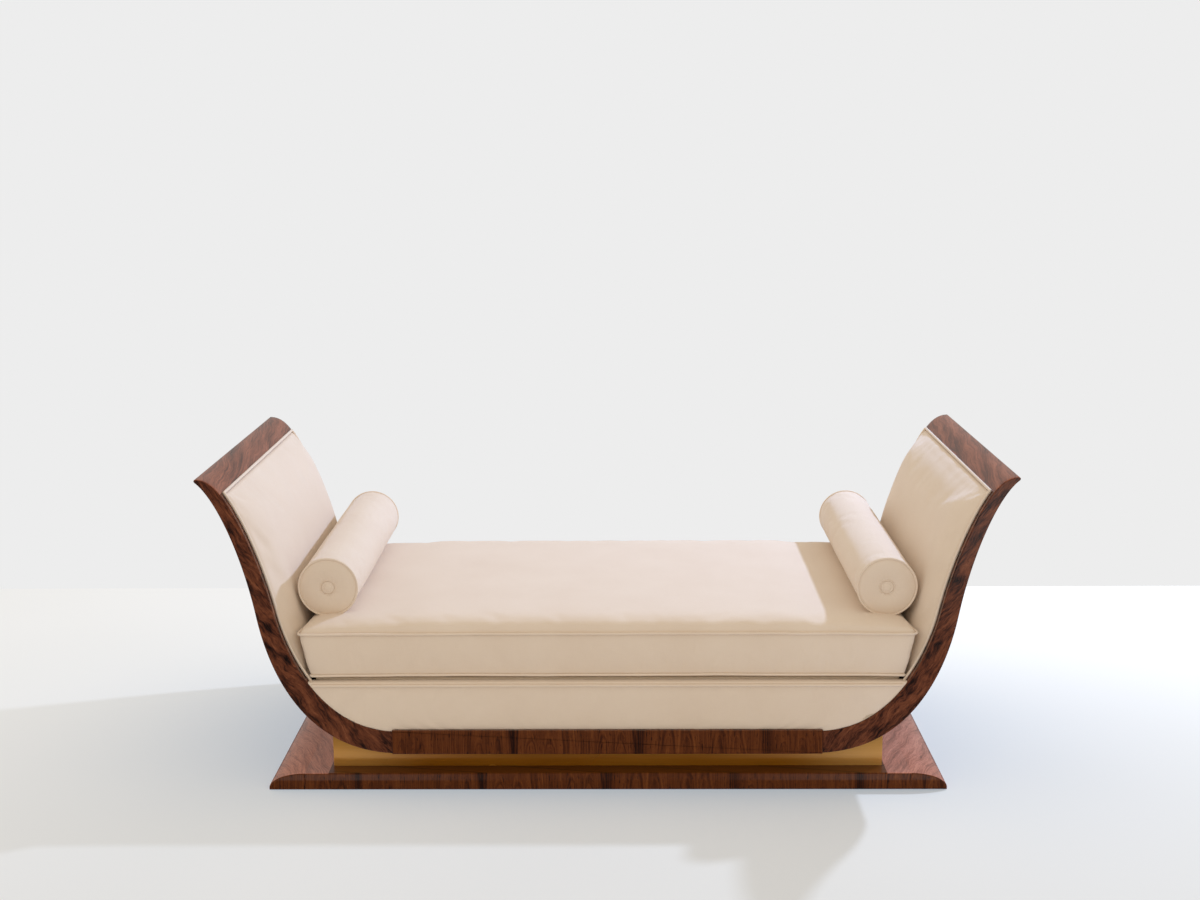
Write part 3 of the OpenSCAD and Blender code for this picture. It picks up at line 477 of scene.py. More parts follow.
def flame_veneer(name, tones):
    """Upright book-matched leaves. Growth lines are rings round a heart near the leaf's face."""
    made, tree = new_material(name)
    uv = map_place(tree, "veneer")
    along, across = parts(tree, uv)[0], parts(tree, uv)[1]
    across = wander(tree, across, 0.010, (5.0, 7.0, 1.0), uv)
    leaf_place = calc(tree, "PINGPONG", across, leaf_width)
    number = calc(tree, "FLOOR", calc(tree, "DIVIDE", across, 2 * leaf_width))
    chance = node(tree, "ShaderNodeTexWhiteNoise", {"W": number}, noise_dimensions="1D").outputs[0]
    heart = calc(tree, "MULTIPLY_ADD", chance, leaf_width * 0.40, leaf_width * 0.36)
    sideways = calc(tree, "ABSOLUTE", calc(tree, "SUBTRACT", leaf_place, heart))
    paired = calc(tree, "SUBTRACT", sideways, 0.023)
    below = wander(tree, calc(tree, "MULTIPLY_ADD", along, 0.13, 0.0185), 0.0035, (22.0, 26.0, 1.0), uv)
    ring = calc(tree, "SQRT", calc(tree, "MULTIPLY_ADD", paired, paired,
                                   calc(tree, "MULTIPLY", below, below)))
    ring = calc(tree, "MULTIPLY_ADD", chance, 3.0, wander(tree, ring, 0.0012, (30.0, 60.0, 1.0), uv, 1.0))
    lines = node(tree, "ShaderNodeTexNoise", {"W": ring, "Scale": 230.0, "Detail": 3.0, "Roughness": 0.65},
                 noise_dimensions="1D").outputs[0]
    warped = node(tree, "ShaderNodeCombineXYZ", {0: along, 1: across, 2: 3.0}).outputs[0]
    streaks = grain_noise(tree, (5.0, 330.0, 1.0), warped, 4.0, 0.62)
    broad = grain_noise(tree, (4.0, 46.0, 1.0), warped)
    flecks = calc(tree, "GREATER_THAN", grain_noise(tree, (38.0, 190.0, 1.0), warped, 1.0), 0.66)
    joint = calc(tree, "DIVIDE", leaf_place, 0.013)
    joint = calc(tree, "EXPONENT", calc(tree, "MULTIPLY", calc(tree, "MULTIPLY", joint, joint), -1.0))
    tone = total(tree, (streaks, 0.36), (lines, 0.34), (broad, 0.30), (joint, -0.13), (flecks, -0.08))
    lacquered(tree, tone, tones, warped)
    return made


def sweep_veneer(name, tones, unrest, length=1.0):
    """One sheet with streaks along the grain and dark patches. unrest is how far the lines swirl, and
    length draws the whole figure out along the grain."""
    made, tree = new_material(name)
    uv = map_place(tree, "veneer")
    along, across = parts(tree, uv)[0], parts(tree, uv)[1]
    across = wander(tree, across, 0.022, (7.0, 11.0, 1.0), uv)
    across = wander(tree, across, unrest, (38.0, 46.0, 1.0), uv)
    along = calc(tree, "DIVIDE", along, length)
    warped = node(tree, "ShaderNodeCombineXYZ", {0: along, 1: across, 2: 11.0}).outputs[0]
    patches = grain_noise(tree, (11.0, 44.0, 1.0), warped, 4.0, 0.62)
    streaks = grain_noise(tree, (26.0, 170.0, 1.0), warped, 4.0, 0.65)
    fine = grain_noise(tree, (50.0, 560.0, 1.0), warped, 2.0, 0.6)
    lacquered(tree, total(tree, (streaks, 0.38), (patches, 0.46), (fine, 0.16)), tones, warped)
    return made


flame_tones = [(0.34, (0.022, 0.005, 0.002)), (0.43, (0.075, 0.017, 0.003)), (0.50, (0.118, 0.029, 0.005)),
               (0.57, (0.160, 0.043, 0.008)), (0.68, (0.230, 0.071, 0.015))]
sweep_tones = [(0.39, (0.010, 0.004, 0.003)), (0.45, (0.058, 0.016, 0.007)), (0.50, (0.120, 0.033, 0.013)),
               (0.56, (0.185, 0.056, 0.022)), (0.66, (0.270, 0.090, 0.038))]
# Painted light: paler tones for the plinth's end tops, standing in for the bright light on those tops.
painted_light_end_tones = [(0.34, (0.200, 0.070, 0.042)), (0.43, (0.360, 0.130, 0.078)), (0.50, (0.510, 0.190, 0.115)),
             (0.58, (0.620, 0.250, 0.155)), (0.70, (0.720, 0.320, 0.205))]
# Painted light: paler tones for the arm's top, lighter than the upright faces because the top catches more
# light.
painted_light_cap_tones = [(0.38, (0.060, 0.018, 0.010)), (0.45, (0.150, 0.045, 0.022)), (0.50, (0.240, 0.074, 0.036)),
             (0.56, (0.330, 0.108, 0.053)), (0.66, (0.430, 0.150, 0.076))]
veneer_flame = flame_veneer("veneer_book_matched", flame_tones)
veneer_sweep = sweep_veneer("veneer_sweep", sweep_tones, 0.0065)
# The crest veneer is paler as painted light on the arm's top.
painted_light_cap_veneer = sweep_veneer("painted_light_cap_veneer", painted_light_cap_tones, 0.0015, 4.5)
# The end veneer is paler as painted light on the plinth's end tops.
painted_light_end_veneer = sweep_veneer("painted_light_end_veneer", painted_light_end_tones, 0.0030, 2.2)
print("veneers:", veneer_flame.name, veneer_sweep.name)

# %% [markdown]
# ## Boards with eased edges
#
# Every show-wood board is an outline, sawn from a sheet and lacquered. No real edge is knife sharp:
# sandpaper eases it to a radius of about two millimetres, and that small round catches the light.
# The helper below lifts an outline to a board, turns the edge through a quarter circle in a few steps,
# and holds the flat face flat with one more ring just inside. Long edges get more points, so that the
# face can be cut into well-shaped triangles.


# %% Outlines
def inset(outline, distance):
    """The outline moved inwards. It runs counter-clockwise as seen from the front."""
    normals = []
    for step in (outline - np.roll(outline, 1, axis=0), np.roll(outline, -1, axis=0) - outline):
        step = step / np.linalg.norm(step, axis=1)[:, None]
        normals.append(np.stack([-step[:, 1], step[:, 0]], axis=1))
    spread = 1 + np.sum(normals[0] * normals[1], axis=1)
    return outline + distance * (normals[0] + normals[1]) / np.maximum(spread, 0.3)[:, None]


def closely_set(outline, step=0.02):
    """The outline with more points on its long straight runs."""
    points = []
    for p, q in zip(outline, np.roll(outline, -1, axis=0)):
        count = max(1, math.ceil(np.linalg.norm(q - p) / step))
        points += [p + (q - p) * i / count for i in range(count)]
    return np.array(points)


def on_side(outline, side):
    """The right piece's outline, or the left's, which still runs counter-clockwise."""
    return outline if side > 0 else outline[::-1] * np.array([-1.0, 1.0])


def band(first, second, count):
    """Faces between two rings of points, given by the number of each ring's first point."""
    return [(first + i, second + i, second + (i + 1) % count, first + (i + 1) % count)
            for i in range(count)]


def link_mesh(name, points, faces, material):
    """An object at the origin with its place in its mesh, smooth but for its real edges."""
    mesh = bpy.data.meshes.new(name)
    mesh.from_pydata([tuple(map(float, p)) for p in points], [], faces)
    mesh.update()
    mesh.materials.append(material)
    mesh.shade_smooth()
    mesh.set_sharp_from_angle(angle=math.radians(38))
    made = bpy.data.objects.new(name, mesh)
    scene.collection.objects.link(made)
    return made


def set_uv(piece, name, uv_of_corner):
    """Fills a UV map from a rule that takes a face and a point."""
    mesh = piece.data
    layer = mesh.uv_layers.get(name) or mesh.uv_layers.new(name=name)
    for face in mesh.polygons:
        for corner in face.loop_indices:
            point = mesh.vertices[mesh.loops[corner].vertex_index].co
            layer.data[corner].uv = uv_of_corner(face, point)


def settle(piece, body, slot, *nodes, fill=None):
    """Attaches the piece to the body that it rides on and hides the nodes that it stands for. The slot and
    fill are not used.
    """
    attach(piece, body)
    if nodes:
        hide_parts(*nodes)
    return piece


# %% Boards
eased_steps = 5
holding_gap = 0.0012


def eased_rings(depth, inward, ease):
    """Rings from a flat face over its eased edge, each as (distance in from the outline, depth)."""
    if ease == 0:
        return [(0.0, depth)]
    turns = [math.radians(90 * (1 - i / eased_steps)) for i in range(eased_steps + 1)]
    return [(ease + holding_gap, depth)] + [
        (ease * (1 - math.cos(turn)), depth + inward * ease * (1 - math.sin(turn))) for turn in turns]


def eased_outside(sign, ease):
    """Radii of a board's front and back edges, where only the outer one is eased."""
    return (ease, 0.0) if sign < 0 else (0.0, ease)


def board(name, outline, front, back, eased_front, eased_back, material):
    """A board between two depths, whose front and back edges are eased where a radius is given."""
    rings = eased_rings(front, 1, eased_front) + eased_rings(back, -1, eased_back)[::-1]
    outline = closely_set(outline)
    count = len(outline)
    points = [(p[0], depth, p[1]) for distance, depth in rings for p in inset(outline, distance)]
    faces = [tuple(range(count)), tuple(reversed(range((len(rings) - 1) * count, len(rings) * count)))]
    for k in range(len(rings) - 1):
        faces += band(k * count, (k + 1) * count, count)
    piece = link_mesh(name, points, faces, material)
    cut = bmesh.new()
    cut.from_mesh(piece.data)
    bmesh.ops.triangulate(cut, faces=[f for f in cut.faces if len(f.verts) > 4], ngon_method="BEAUTY")
    cut.to_mesh(piece.data)
    cut.free()
    return piece


def lay_veneers(piece, second, takes_second, uv_rule):
    """Puts a second veneer on the faces that take it, and fills the veneers' map."""
    piece.data.materials.append(second)
    for face in piece.data.polygons:
        face.material_index = int(takes_second(face))
    set_uv(piece, "veneer", uv_rule)


# %% [markdown]
# ### Side frames
#
# Four of them, all from one outline. On the faces the veneer's straight grain lies along the sweep of
# the arm, so the dark streaks cross the board at a slant. On the outer edge the sheet's grain slants too.
# The crest has a paler veneer of its own, painted light for the brighter top, whose grain runs along the
# arm's top.

# %% Side frames
edge_ease = 0.0024
face_grain, sheet_grain, crest_grain = math.radians(54), math.radians(28), math.radians(9)
leaf_gap = 0.5
sheet_gap = 4.0


def upright(face):
    """Whether a face looks to the front or the back."""
    return abs(face.normal.y) > 0.6


def turned_uv(x, y, angle):
    """Plane coordinates turned so that u runs along the grain."""
    return (x * math.cos(angle) + y * math.sin(angle), y * math.cos(angle) - x * math.sin(angle))


def on_crest(face):
    """Whether a face is part of the arm's top, which gets a paler veneer as painted light."""
    return face.normal.z > 0.3 and face.center.z > cap_edge[1] - 0.001


def arm_uv(face, point):
    """Veneer coordinates on the arm: one sheet round the edges, and one leaf on each face."""
    if upright(face):
        u, v = turned_uv(abs(point.x), point.z, face_grain)
        return (u + (2.0 if point.y < 0 else 3.0), v + math.copysign(leaf_gap, point.x))
    run = run_at(sheet_line, sheet_runs, point.x, point.z)
    u, v = turned_uv(point.y, -run, crest_grain if on_crest(face) else sheet_grain)
    return (u, v + math.copysign(sheet_gap, point.x))


for side, side_name in sides:
    for sign, face_name in fronts:
        name = f"side_frame_{face_name}_{side_name}"
        front, back = sorted((sign * inside_half, sign * half_depth))
        piece = board(f"veneered_{name}", on_side(side_frame_outline, side), front, back,
                      *eased_outside(sign, edge_ease), veneer_sweep)
        lay_veneers(piece, painted_light_cap_veneer, on_crest, arm_uv)
        settle(piece, "frame", "veneer", name)
print("side frame width at the waist:", waist_width)

# %% [markdown]
# ### Outer shells and caps
#
# Between the side frames the arm is closed outside by a bent panel, and on top by a cap of solid
# wood that is shaped to the same curve. Both are only a stretch of the arm's outline, so they share
# its curves and its veneer coordinates.

# %% Outer shells and caps
shell_thickness = 0.010
cap_heading = heading_at(inner_high, 1)
t_cap_outside = where(lambda t: (curve_at(outer_high, t) - cap_edge) @ cap_heading >= 0)
t_cap_inside = where(lambda t: (beside(outer_high, t, shell_thickness) - cap_edge) @ cap_heading >= 0)
shell_inside = ([np.array([apron_half, body_bottom + shell_thickness])]
                + stretch(outer_low, shell_thickness)[1:]
                + stretch(outer_high, shell_thickness, 0, t_cap_inside)[1:])
shell_outline = np.array(stretch(outer_low) + stretch(outer_high, 0, 0, t_cap_outside)[1:]
                         + shell_inside[::-1])
cap_outline = np.array(stretch(outer_high, 0, t_cap_outside, 1) + nose_points + stretch(crest)[::-1])

for side, side_name in sides:
    for node_name, outline in (("outer_shell", shell_outline), ("arm_cap", cap_outline)):
        piece = board(f"veneered_{node_name}_{side_name}", on_side(outline, side), -inside_half, inside_half,
                      0, 0, veneer_sweep)
        lay_veneers(piece, painted_light_cap_veneer, on_crest, arm_uv)
        settle(piece, "frame", "veneer", f"{node_name}_{side_name}")
print("cap's depth over the crest:", round(float(np.linalg.norm(crest[3] - crest[0])), 3))

# %% [markdown]
# ### Aprons and plinth
#
# The aprons are straight boards that stand a few millimetres proud of the side frames. The plinth
# is a low slab with ends rounded like the bow of a skiff. Its veneer climbs the front face and runs
# on over the top, so the dark bars of the front reappear on the strip before the riser.

# %% Aprons and plinth
apron_ease, plinth_ease = 0.0018, 0.0025
plinth_edge, plinth_nose_steps = 0.005, 40
apron_shift = 0.080
back_shift = 5.0
end_gap = 7.0
end_grain = math.radians(24)
corner_steps = 4
riser_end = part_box("riser_right")[1].x


def rectangle(low, high):
    """An outline that runs counter-clockwise."""
    return np.array([(low.x, low.z), (high.x, low.z), (high.x, high.z), (low.x, high.z)], float)


def eased_rectangle(low, high, radius):
    """A rectangle whose corners are rounded, from the low left one round."""
    points = []
    inward = ((1, 1), (-1, 1), (-1, -1), (1, -1))
    for (x, z), (in_x, in_z), start in zip(rectangle(low, high), inward, (180, 270, 0, 90)):
        for i in range(corner_steps + 1):
            turn = math.radians(start + 90 * i / corner_steps)
            points.append((x + in_x * radius + radius * math.cos(turn),
                           z + in_z * radius + radius * math.sin(turn)))
    return np.array(points, float)


def on_end(face):
    """Whether a face lies on the plinth's top outside the riser, where one sheet covers the whole end in a
    paler veneer that paints the light on top.
    """
    return face.normal.z > 0.6 and abs(face.center.x) > riser_end


def end_sheet_uv(y, run, side):
    """Veneer coordinates of the sheet on the plinth's end. run is the distance from the middle."""
    u, v = turned_uv(y, run, end_grain)
    return (u, v + math.copysign(end_gap, side))


def flame_uv(face, point):
    """Leaves stand upright on the faces and run on over the top."""
    on_plinth = point.z < plinth_high.z + 0.001
    top = plinth_high.z if on_plinth else apron_high.z
    across = point.x - (0.0 if on_plinth else apron_shift) + (back_shift if point.y > 0 else 0.0)
    return (point.z - top if upright(face) else half_depth - abs(point.y), across)


def plinth_uv(face, point):
    """The end's sheet outside the riser, and leaves elsewhere."""
    return end_sheet_uv(point.y, abs(point.x), face.center.x) if on_end(face) else flame_uv(face, point)


for sign, face_name in fronts:
    low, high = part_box(f"apron_{face_name}")
    piece = board(f"veneered_apron_{face_name}", eased_rectangle(low, high, apron_ease), low.y, high.y,
                  *eased_outside(sign, apron_ease), veneer_flame)
    set_uv(piece, "veneer", flame_uv)
    settle(piece, "frame", "veneer", f"apron_{face_name}")

    low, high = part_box(f"plinth_facing_{face_name}")
    piece = board(f"veneered_plinth_facing_{face_name}", rectangle(low, high), low.y, high.y,
                  *eased_outside(sign, plinth_ease), veneer_flame)
    lay_veneers(piece, painted_light_end_veneer, on_end, plinth_uv)
    settle(piece, "frame", "veneer", f"plinth_facing_{face_name}")

nose_turns = [math.radians(90 * i / plinth_nose_steps) for i in range(plinth_nose_steps + 1)]
nose_line = [(plinth_low.x + (plinth_high.x - plinth_low.x) * math.cos(turn),
              plinth_edge + (plinth_high.z - plinth_edge) * math.sin(turn)) for turn in nose_turns]
plinth_end_outline = np.array([(plinth_low.x, 0.0), (plinth_high.x, 0.0)] + nose_line)
top_line = np.array(nose_line[::-1])
top_runs = run_along(top_line)


def plinth_end_uv(face, point):
    """The face's leaves run on from the facing, and the sheet on top follows the rounded end."""
    if upright(face):
        return flame_uv(face, point)
    return end_sheet_uv(point.y, plinth_low.x + run_at(top_line, top_runs, point.x, point.z), point.x)


for side, side_name in sides:
    piece = board(f"veneered_plinth_end_{side_name}", on_side(plinth_end_outline, side),
                  plinth_low.y, plinth_high.y, plinth_ease, plinth_ease, veneer_flame)
    lay_veneers(piece, painted_light_end_veneer, lambda face: not upright(face), plinth_end_uv)
    settle(piece, "frame", "veneer", f"plinth_end_{side_name}")

low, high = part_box("plinth_core")
piece = board("veneered_plinth_core", rectangle(low, high), low.y, high.y, 0, 0, veneer_flame)
lay_veneers(piece, painted_light_end_veneer, on_end, plinth_uv)
settle(piece, "frame", "veneer", "plinth_core")
print("plinth:", round(2 * plinth_high.x, 3), "m long and", round(plinth_high.z, 3), "m thick")

# %% [markdown]
# ## The golden riser
#
# Four boards set well back lift the body off the plinth, and they are scribed to the curve of the
# arms above. Their golden lacquer is a metal pigment under clear gloss, so they mirror the dark plinth in
# their lower half and the bright floor in the upper. Toward the ends the gold is painted paler, as a painted
# reflection of the bright floor beyond the plinth's ends.

# %% Riser material and boards
scribe_gap, scribe_steps = 0.0003, 24


def between(tree, share, first, last):
    """A value that runs from one number to another."""
    return node(tree, "ShaderNodeMapRange", {"Value": share, "To Min": first, "To Max": last}).outputs[0]


gold, tree = new_material("golden_lacquer")
place = object_place(tree)
cloud = grain_noise(tree, (2.0, 2.0, 3.0), place)
brush = grain_noise(tree, (9.0, 9.0, 520.0), place)
tone = total(tree, (brush, 0.3), (cloud, 0.7))
middle_gold = ramp(tree, tone, [(0.32, (0.52, 0.180, 0.006)), (0.50, (0.62, 0.225, 0.010)),
                                (0.68, (0.70, 0.275, 0.020))])
# Painted reflection: the gold is paler toward the ends, standing in for the bright floor they mirror.
painted_reflection_gold = ramp(tree, tone, [(0.32, (0.90, 0.430, 0.080)), (0.68, (1.0, 0.520, 0.130))])
toward_end = smooth_range(tree, calc(tree, "ABSOLUTE", parts(tree, place)[0]), 0.42, 0.66, 0.0, 1.0)
shade(tree, {"Base Color": mixed(tree, toward_end, middle_gold, painted_reflection_gold), "Metallic": 0.55,
             "Roughness": between(tree, cloud, 0.20, 0.34), "Normal": bump(tree, brush, 0.06, 0.0004),
             "Coat Weight": 0.8, "Coat Roughness": 0.06})

underside = np.array(stretch(outer_low, -scribe_gap))
riser_low, riser_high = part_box("riser_front")


def scribed(x_from, x_to):
    """Outline of a riser board between two places on the right, under the curve of the arm."""
    top = [(x, body_bottom if x < apron_half else float(np.interp(x, underside[:, 0], underside[:, 1])))
           for x in np.linspace(x_to, max(x_from, apron_half), scribe_steps)]
    tail = [] if x_from >= apron_half else [(x_from, body_bottom)]
    return [(x_from, riser_low.z), (x_to, riser_low.z)] + top + tail


right_half = scribed(0.0, riser_high.x)
long_outline = np.array([p for p in right_half if p[0] > 0]
                        + [(-x, z) for x, z in right_half[::-1] if x > 0])
end_low, end_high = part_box("riser_right")
end_outline = np.array(scribed(end_low.x, end_high.x))
riser_boards = [(face_name, long_outline, *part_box(f"riser_{face_name}")) for _, face_name in fronts]
riser_boards += [(side_name, on_side(end_outline, side), end_low, end_high)
                 for side, side_name in sides[::-1]]
for place_name, outline, low, high in riser_boards:
    piece = board(f"lacquered_riser_{place_name}", outline, low.y, high.y, 0, 0, gold)
    settle(piece, "frame", "gold_lacquer", f"riser_{place_name}")
print("riser stands back", round(half_depth + riser_low.y, 3), "m from the side frames")

# %% [markdown]
# ## Timber, steel and webbing inside
#
# Rails, ribs, boards and blocks are never seen, but the model can be looked at from below or with
# its cushion lifted off. They stay as the frame made them and only get their finish: plain sawn
# hardwood, bright zinc-plated steel with fine turning marks, and a coarse plain weave of jute.

# %% Inner materials
jute_thread = 0.0011


def plain_weave(tree, place, thread):
    """A weave's height from 0 to 1, from the thickness of its threads."""
    warp, weft = (calc(tree, "SINE", calc(tree, "MULTIPLY", parts(tree, place)[i], math.pi / thread))
                  for i in (0, 1))
    return calc(tree, "MULTIPLY_ADD", calc(tree, "MULTIPLY", warp, weft), 0.5, 0.5)


timber, tree = new_material("sawn_timber")
place = object_place(tree)
growth = grain_noise(tree, (2.0, 60.0, 60.0), place, 3.0)
fibre = grain_noise(tree, (12.0, 700.0, 700.0), place)
colour = ramp(tree, total(tree, (fibre, 0.35), (growth, 0.65)),
              [(0.34, (0.36, 0.235, 0.125)), (0.5, (0.50, 0.345, 0.195)), (0.66, (0.60, 0.435, 0.265))])
shade(tree, {"Base Color": colour, "Roughness": 0.72, "Normal": bump(tree, fibre, 0.25, 0.0005)})

steel, tree = new_material("plated_steel")
marks = grain_noise(tree, (900.0, 900.0, 900.0), object_place(tree))
colour = ramp(tree, marks, [(0.35, (0.42, 0.42, 0.43)), (0.65, (0.58, 0.58, 0.58))])
shade(tree, {"Base Color": colour, "Metallic": 1.0, "Roughness": between(tree, marks, 0.25, 0.42)})

jute, tree = new_material("jute_webbing")
place = object_place(tree)
fuzz = grain_noise(tree, (600.0, 600.0, 600.0), place)
tone = total(tree, (fuzz, 0.5), (plain_weave(tree, place, jute_thread), 0.5))
colour = ramp(tree, tone, [(0.3, (0.16, 0.11, 0.06)), (0.5, (0.28, 0.20, 0.115)),
                           (0.75, (0.40, 0.30, 0.18))])
shade(tree, {"Base Color": colour, "Roughness": 0.9, "Normal": bump(tree, tone, 0.6, 0.0008)})

finish_of = {"frame_timber": timber, "steel": steel, "webbing": jute}
inner = [part for part in frame["record"]["subparts"] if part["material_slot"] in finish_of]
for part in inner:
    kept = frame["nodes"][part["node"]]
    kept.data.materials.clear()
    kept.data.materials.append(finish_of[part["material_slot"]])
print("inner nodes with a finish:", len(inner))

# %% [markdown]
# ## Cream cloth
#
# The cover is a smooth, close-woven cloth, almost plain from a step away. Near to, it has a fine
# weave, threads that vary a little in thickness, and a soft sheen where it turns away from the
# light. The weave is drawn from the cloth's own UV map, in metres, so it bends with the cover.


# %% Cloth materials
def cloth_material(name, base, shaded, thread, sheen):
    """A plain weave with uneven threads."""
    made, tree = new_material(name)
    uv, place = map_place(tree, "cloth"), object_place(tree)
    weave = plain_weave(tree, uv, thread)
    slub = grain_noise(tree, (40.0, 900.0, 1.0), uv)
    cross_slub = grain_noise(tree, (900.0, 40.0, 1.0), uv)
    fuzz = grain_noise(tree, (1400.0, 1400.0, 1400.0), place)
    cloud = grain_noise(tree, (7.0, 7.0, 7.0), place, 3.0)
    tone = total(tree, (cloud, 0.40), (weave, 0.16), (slub, 0.16), (cross_slub, 0.16), (fuzz, 0.12))
    height = total(tree, (fuzz, 0.35), (weave, 0.5), (slub, 0.4))
    shade(tree, {"Base Color": ramp(tree, tone, [(0.30, shaded), (0.62, base)]), "Roughness": 0.82,
                 "Specular IOR Level": 0.2, "Sheen Weight": sheen, "Sheen Roughness": 0.4,
                 "Normal": bump(tree, height, 0.35, 0.0003)})
    return made


cream = cloth_material("cream_cloth", (0.800, 0.665, 0.515), (0.750, 0.605, 0.455), 0.0006, 0.30)
platform = cloth_material("platform_cloth", (0.66, 0.545, 0.405), (0.58, 0.465, 0.335), 0.0009, 0.05)
print("cloths:", cream.name, platform.name)

# %% [markdown]
# ## Padded forms
#
# A cushion, a pad or a rolled edge is a cover of flat cloth that is sewn along its seams and pushed out
# from inside. Each one below starts as a grid in the shape of its cover. Then a short cloth
# simulation blows it up a little while its seams are held, which gives the small uneven swellings and
# the puckers along the seams that no formula draws as well. How far a point may travel is capped,
# so that the piece keeps to the room that the construction leaves for it.


# %% Grids for covers
def block_grid(*counts):
    """Points and faces of a block's skin, with each point's place as shares of the three sides."""
    numbers, faces = {}, []
    nx, ny, nz = counts
    for first, second, levels in ((0, 1, (nz, 0)), (0, 2, (0, ny)), (1, 2, (nx, 0))):
        for i in range(counts[first]):
            for j in range(counts[second]):
                for level, order in zip(levels, (1, -1)):
                    corners = []
                    for step_i, step_j in ((0, 0), (1, 0), (1, 1), (0, 1)):
                        corner = [level] * 3
                        corner[first], corner[second] = i + step_i, j + step_j
                        corners.append(tuple(corner))
                    faces.append(tuple(numbers.setdefault(c, len(numbers)) for c in corners[::order]))
    return np.array(list(numbers)) / np.array(counts, float), faces


def box_cloth_uv(piece):
    """Cloth coordinates laid straight onto each panel of a box-shaped cover."""
    def rule(face, point):
        n = face.normal
        if abs(n.z) > 0.6:
            return (point.x, point.y)
        return (point.x, point.z) if abs(n.y) > abs(n.x) else (point.y, point.z)
    set_uv(piece, "cloth", rule)


def blow_up(piece, hold, travel, pressure, growth, frames=18, stiffness=18.0):
    """Runs a short cloth simulation and keeps its result. travel may be one for each point."""
    group = piece.vertex_groups.new(name="hold")
    for i, weight in enumerate(hold):
        if weight > 0:
            group.add([i], float(weight), "REPLACE")
    rest = np.array([v.co for v in piece.data.vertices])
    cloth = piece.modifiers.new("cover", "CLOTH")
    for name, value in {
            "quality": 5, "mass": 0.25, "tension_stiffness": stiffness, "compression_stiffness": stiffness,
            "shear_stiffness": stiffness * 0.4, "bending_stiffness": 1.2, "use_pressure": True,
            "uniform_pressure_force": pressure, "vertex_group_mass": "hold", "pin_stiffness": 1.0,
            "shrink_min": -growth}.items():
        setattr(cloth.settings, name, value)
    cloth.settings.effector_weights.gravity = 0.0
    cloth.collision_settings.use_collision = False
    cloth.point_cache.frame_start = 1
    cloth.point_cache.frame_end = frames
    for step in range(1, frames + 1):
        scene.frame_set(step)
    evaluated = piece.evaluated_get(bpy.context.evaluated_depsgraph_get())
    moved = np.array([v.co for v in evaluated.data.vertices]) - rest
    piece.modifiers.remove(cloth)
    piece.vertex_groups.clear()
    scene.frame_set(1)
    length = np.linalg.norm(moved, axis=1)
    limit = np.maximum(travel, 1e-7) * np.ones(len(rest))
    capped = limit * np.tanh(length / limit) / np.maximum(length, 1e-9)
    piece.data.vertices.foreach_set("co", (rest + moved * capped[:, None]).ravel())
    piece.data.update()
    print(piece.name, "moved up to", round(float(length.max()) * 1000, 1), "mm, kept to",
          round(float(limit.max()) * 1000, 1))


def keep_result(piece, modifier):
    """Replaces a piece's mesh by what its modifier makes of it."""
    evaluated = piece.evaluated_get(bpy.context.evaluated_depsgraph_get())
    made = bpy.data.meshes.new_from_object(evaluated)
    piece.modifiers.remove(modifier)
    old = piece.data
    piece.data = made
    bpy.data.meshes.remove(old)
    made.name = piece.name


def smooth_finish(piece):
    """One subdivision, applied, which rounds the grid off."""
    smoother = piece.modifiers.new("smoothing", "SUBSURF")
    smoother.levels = smoother.render_levels = 1
    keep_result(piece, smoother)
    piece.data.shade_smooth()


def face_outwards(mesh):
    """Turns every closed shell of a mesh so that its faces point outwards."""
    shells = bmesh.new()
    shells.from_mesh(mesh)
    bmesh.ops.remove_doubles(shells, verts=shells.verts, dist=1e-7)
    bmesh.ops.recalc_face_normals(shells, faces=shells.faces)
    shells.to_mesh(mesh)
    shells.free()


# %% [markdown]
# ### Seat cushion
#
# A box cushion: a top and a bottom panel joined by an upright band, with a welt in each seam. The
# corners stand out, because the seams hold them while the cloth between is drawn in. The top
# rises steeply from its seam and then runs almost flat over the foam. It stands a little higher between
# the bolsters, whose weight presses it down.

# %% Seat cushion sizes
welt_radius, shown_welt = 0.0026, 0.0031
foot_low, foot_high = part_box("cushion_welt_bottom")
seam_low, seam_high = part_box("cushion_welt_top")
cushion_seam = (seam_low.z + seam_high.z) / 2
cushion_bottom = foot_low.z
cushion_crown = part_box("cushion_cover")[1].z - cushion_seam
cushion_half_depth = seam_high.y
end_draw, front_draw, band_swell = 0.020, 0.006, 0.003
seam_hold = 0.030
corner_round = 0.016
loose_rise, loose_half, loose_fade = 0.24, 0.60, 0.16
cushion_grid = (124, 68, 9)


def cushion_half(level):
    """Half the cushion's length over its corners, at a share of its height."""
    return foot_high.x + (seam_high.x - foot_high.x) * level


def cushion_plan(s, t, level, back=0.0):
    """Place in plan of a point from -1 to 1 each way, at a share of the height."""
    a = cushion_half(level) - back
    b = cushion_half_depth - back
    swell = band_swell * 4 * level * (1 - level)
    x = s * (a - end_draw * (1 - t ** 4) + swell)
    y = t * (b - front_draw * (1 - s ** 4) + swell)
    rounding = corner_round * (0.2 + 0.8 * level)
    over_x, over_y = abs(x) - (a - rounding), abs(y) - (b - rounding)
    if over_x > 0 and over_y > 0:
        drawn = max(over_x, over_y) / math.hypot(over_x, over_y)
        x = math.copysign(a - rounding + over_x * drawn, x)
        y = math.copysign(b - rounding + over_y * drawn, y)
    return x, y


def crown_at(x, y):
    """Height of the cushion's top over its seam."""
    u = min(1.0, abs(x) / cushion_half(1))
    v = min(1.0, abs(y) / cushion_half_depth)
    free = min(1.0, max(0.0, (loose_half - abs(x)) / loose_fade))
    rise = 1 + loose_rise * free * free * (3 - 2 * free)
    return cushion_crown * rise * math.sqrt(1 - u ** 16) * math.sqrt(1 - v ** 14)


def toward_seam(share):
    """A share of the length as a place from -1 to 1, set more closely near the seams."""
    return math.sin((share - 0.5) * math.pi) * 0.35 + (2 * share - 1) * 0.65


print("cushion seam:", round(cushion_seam, 4), "crown:", round(cushion_crown, 4))

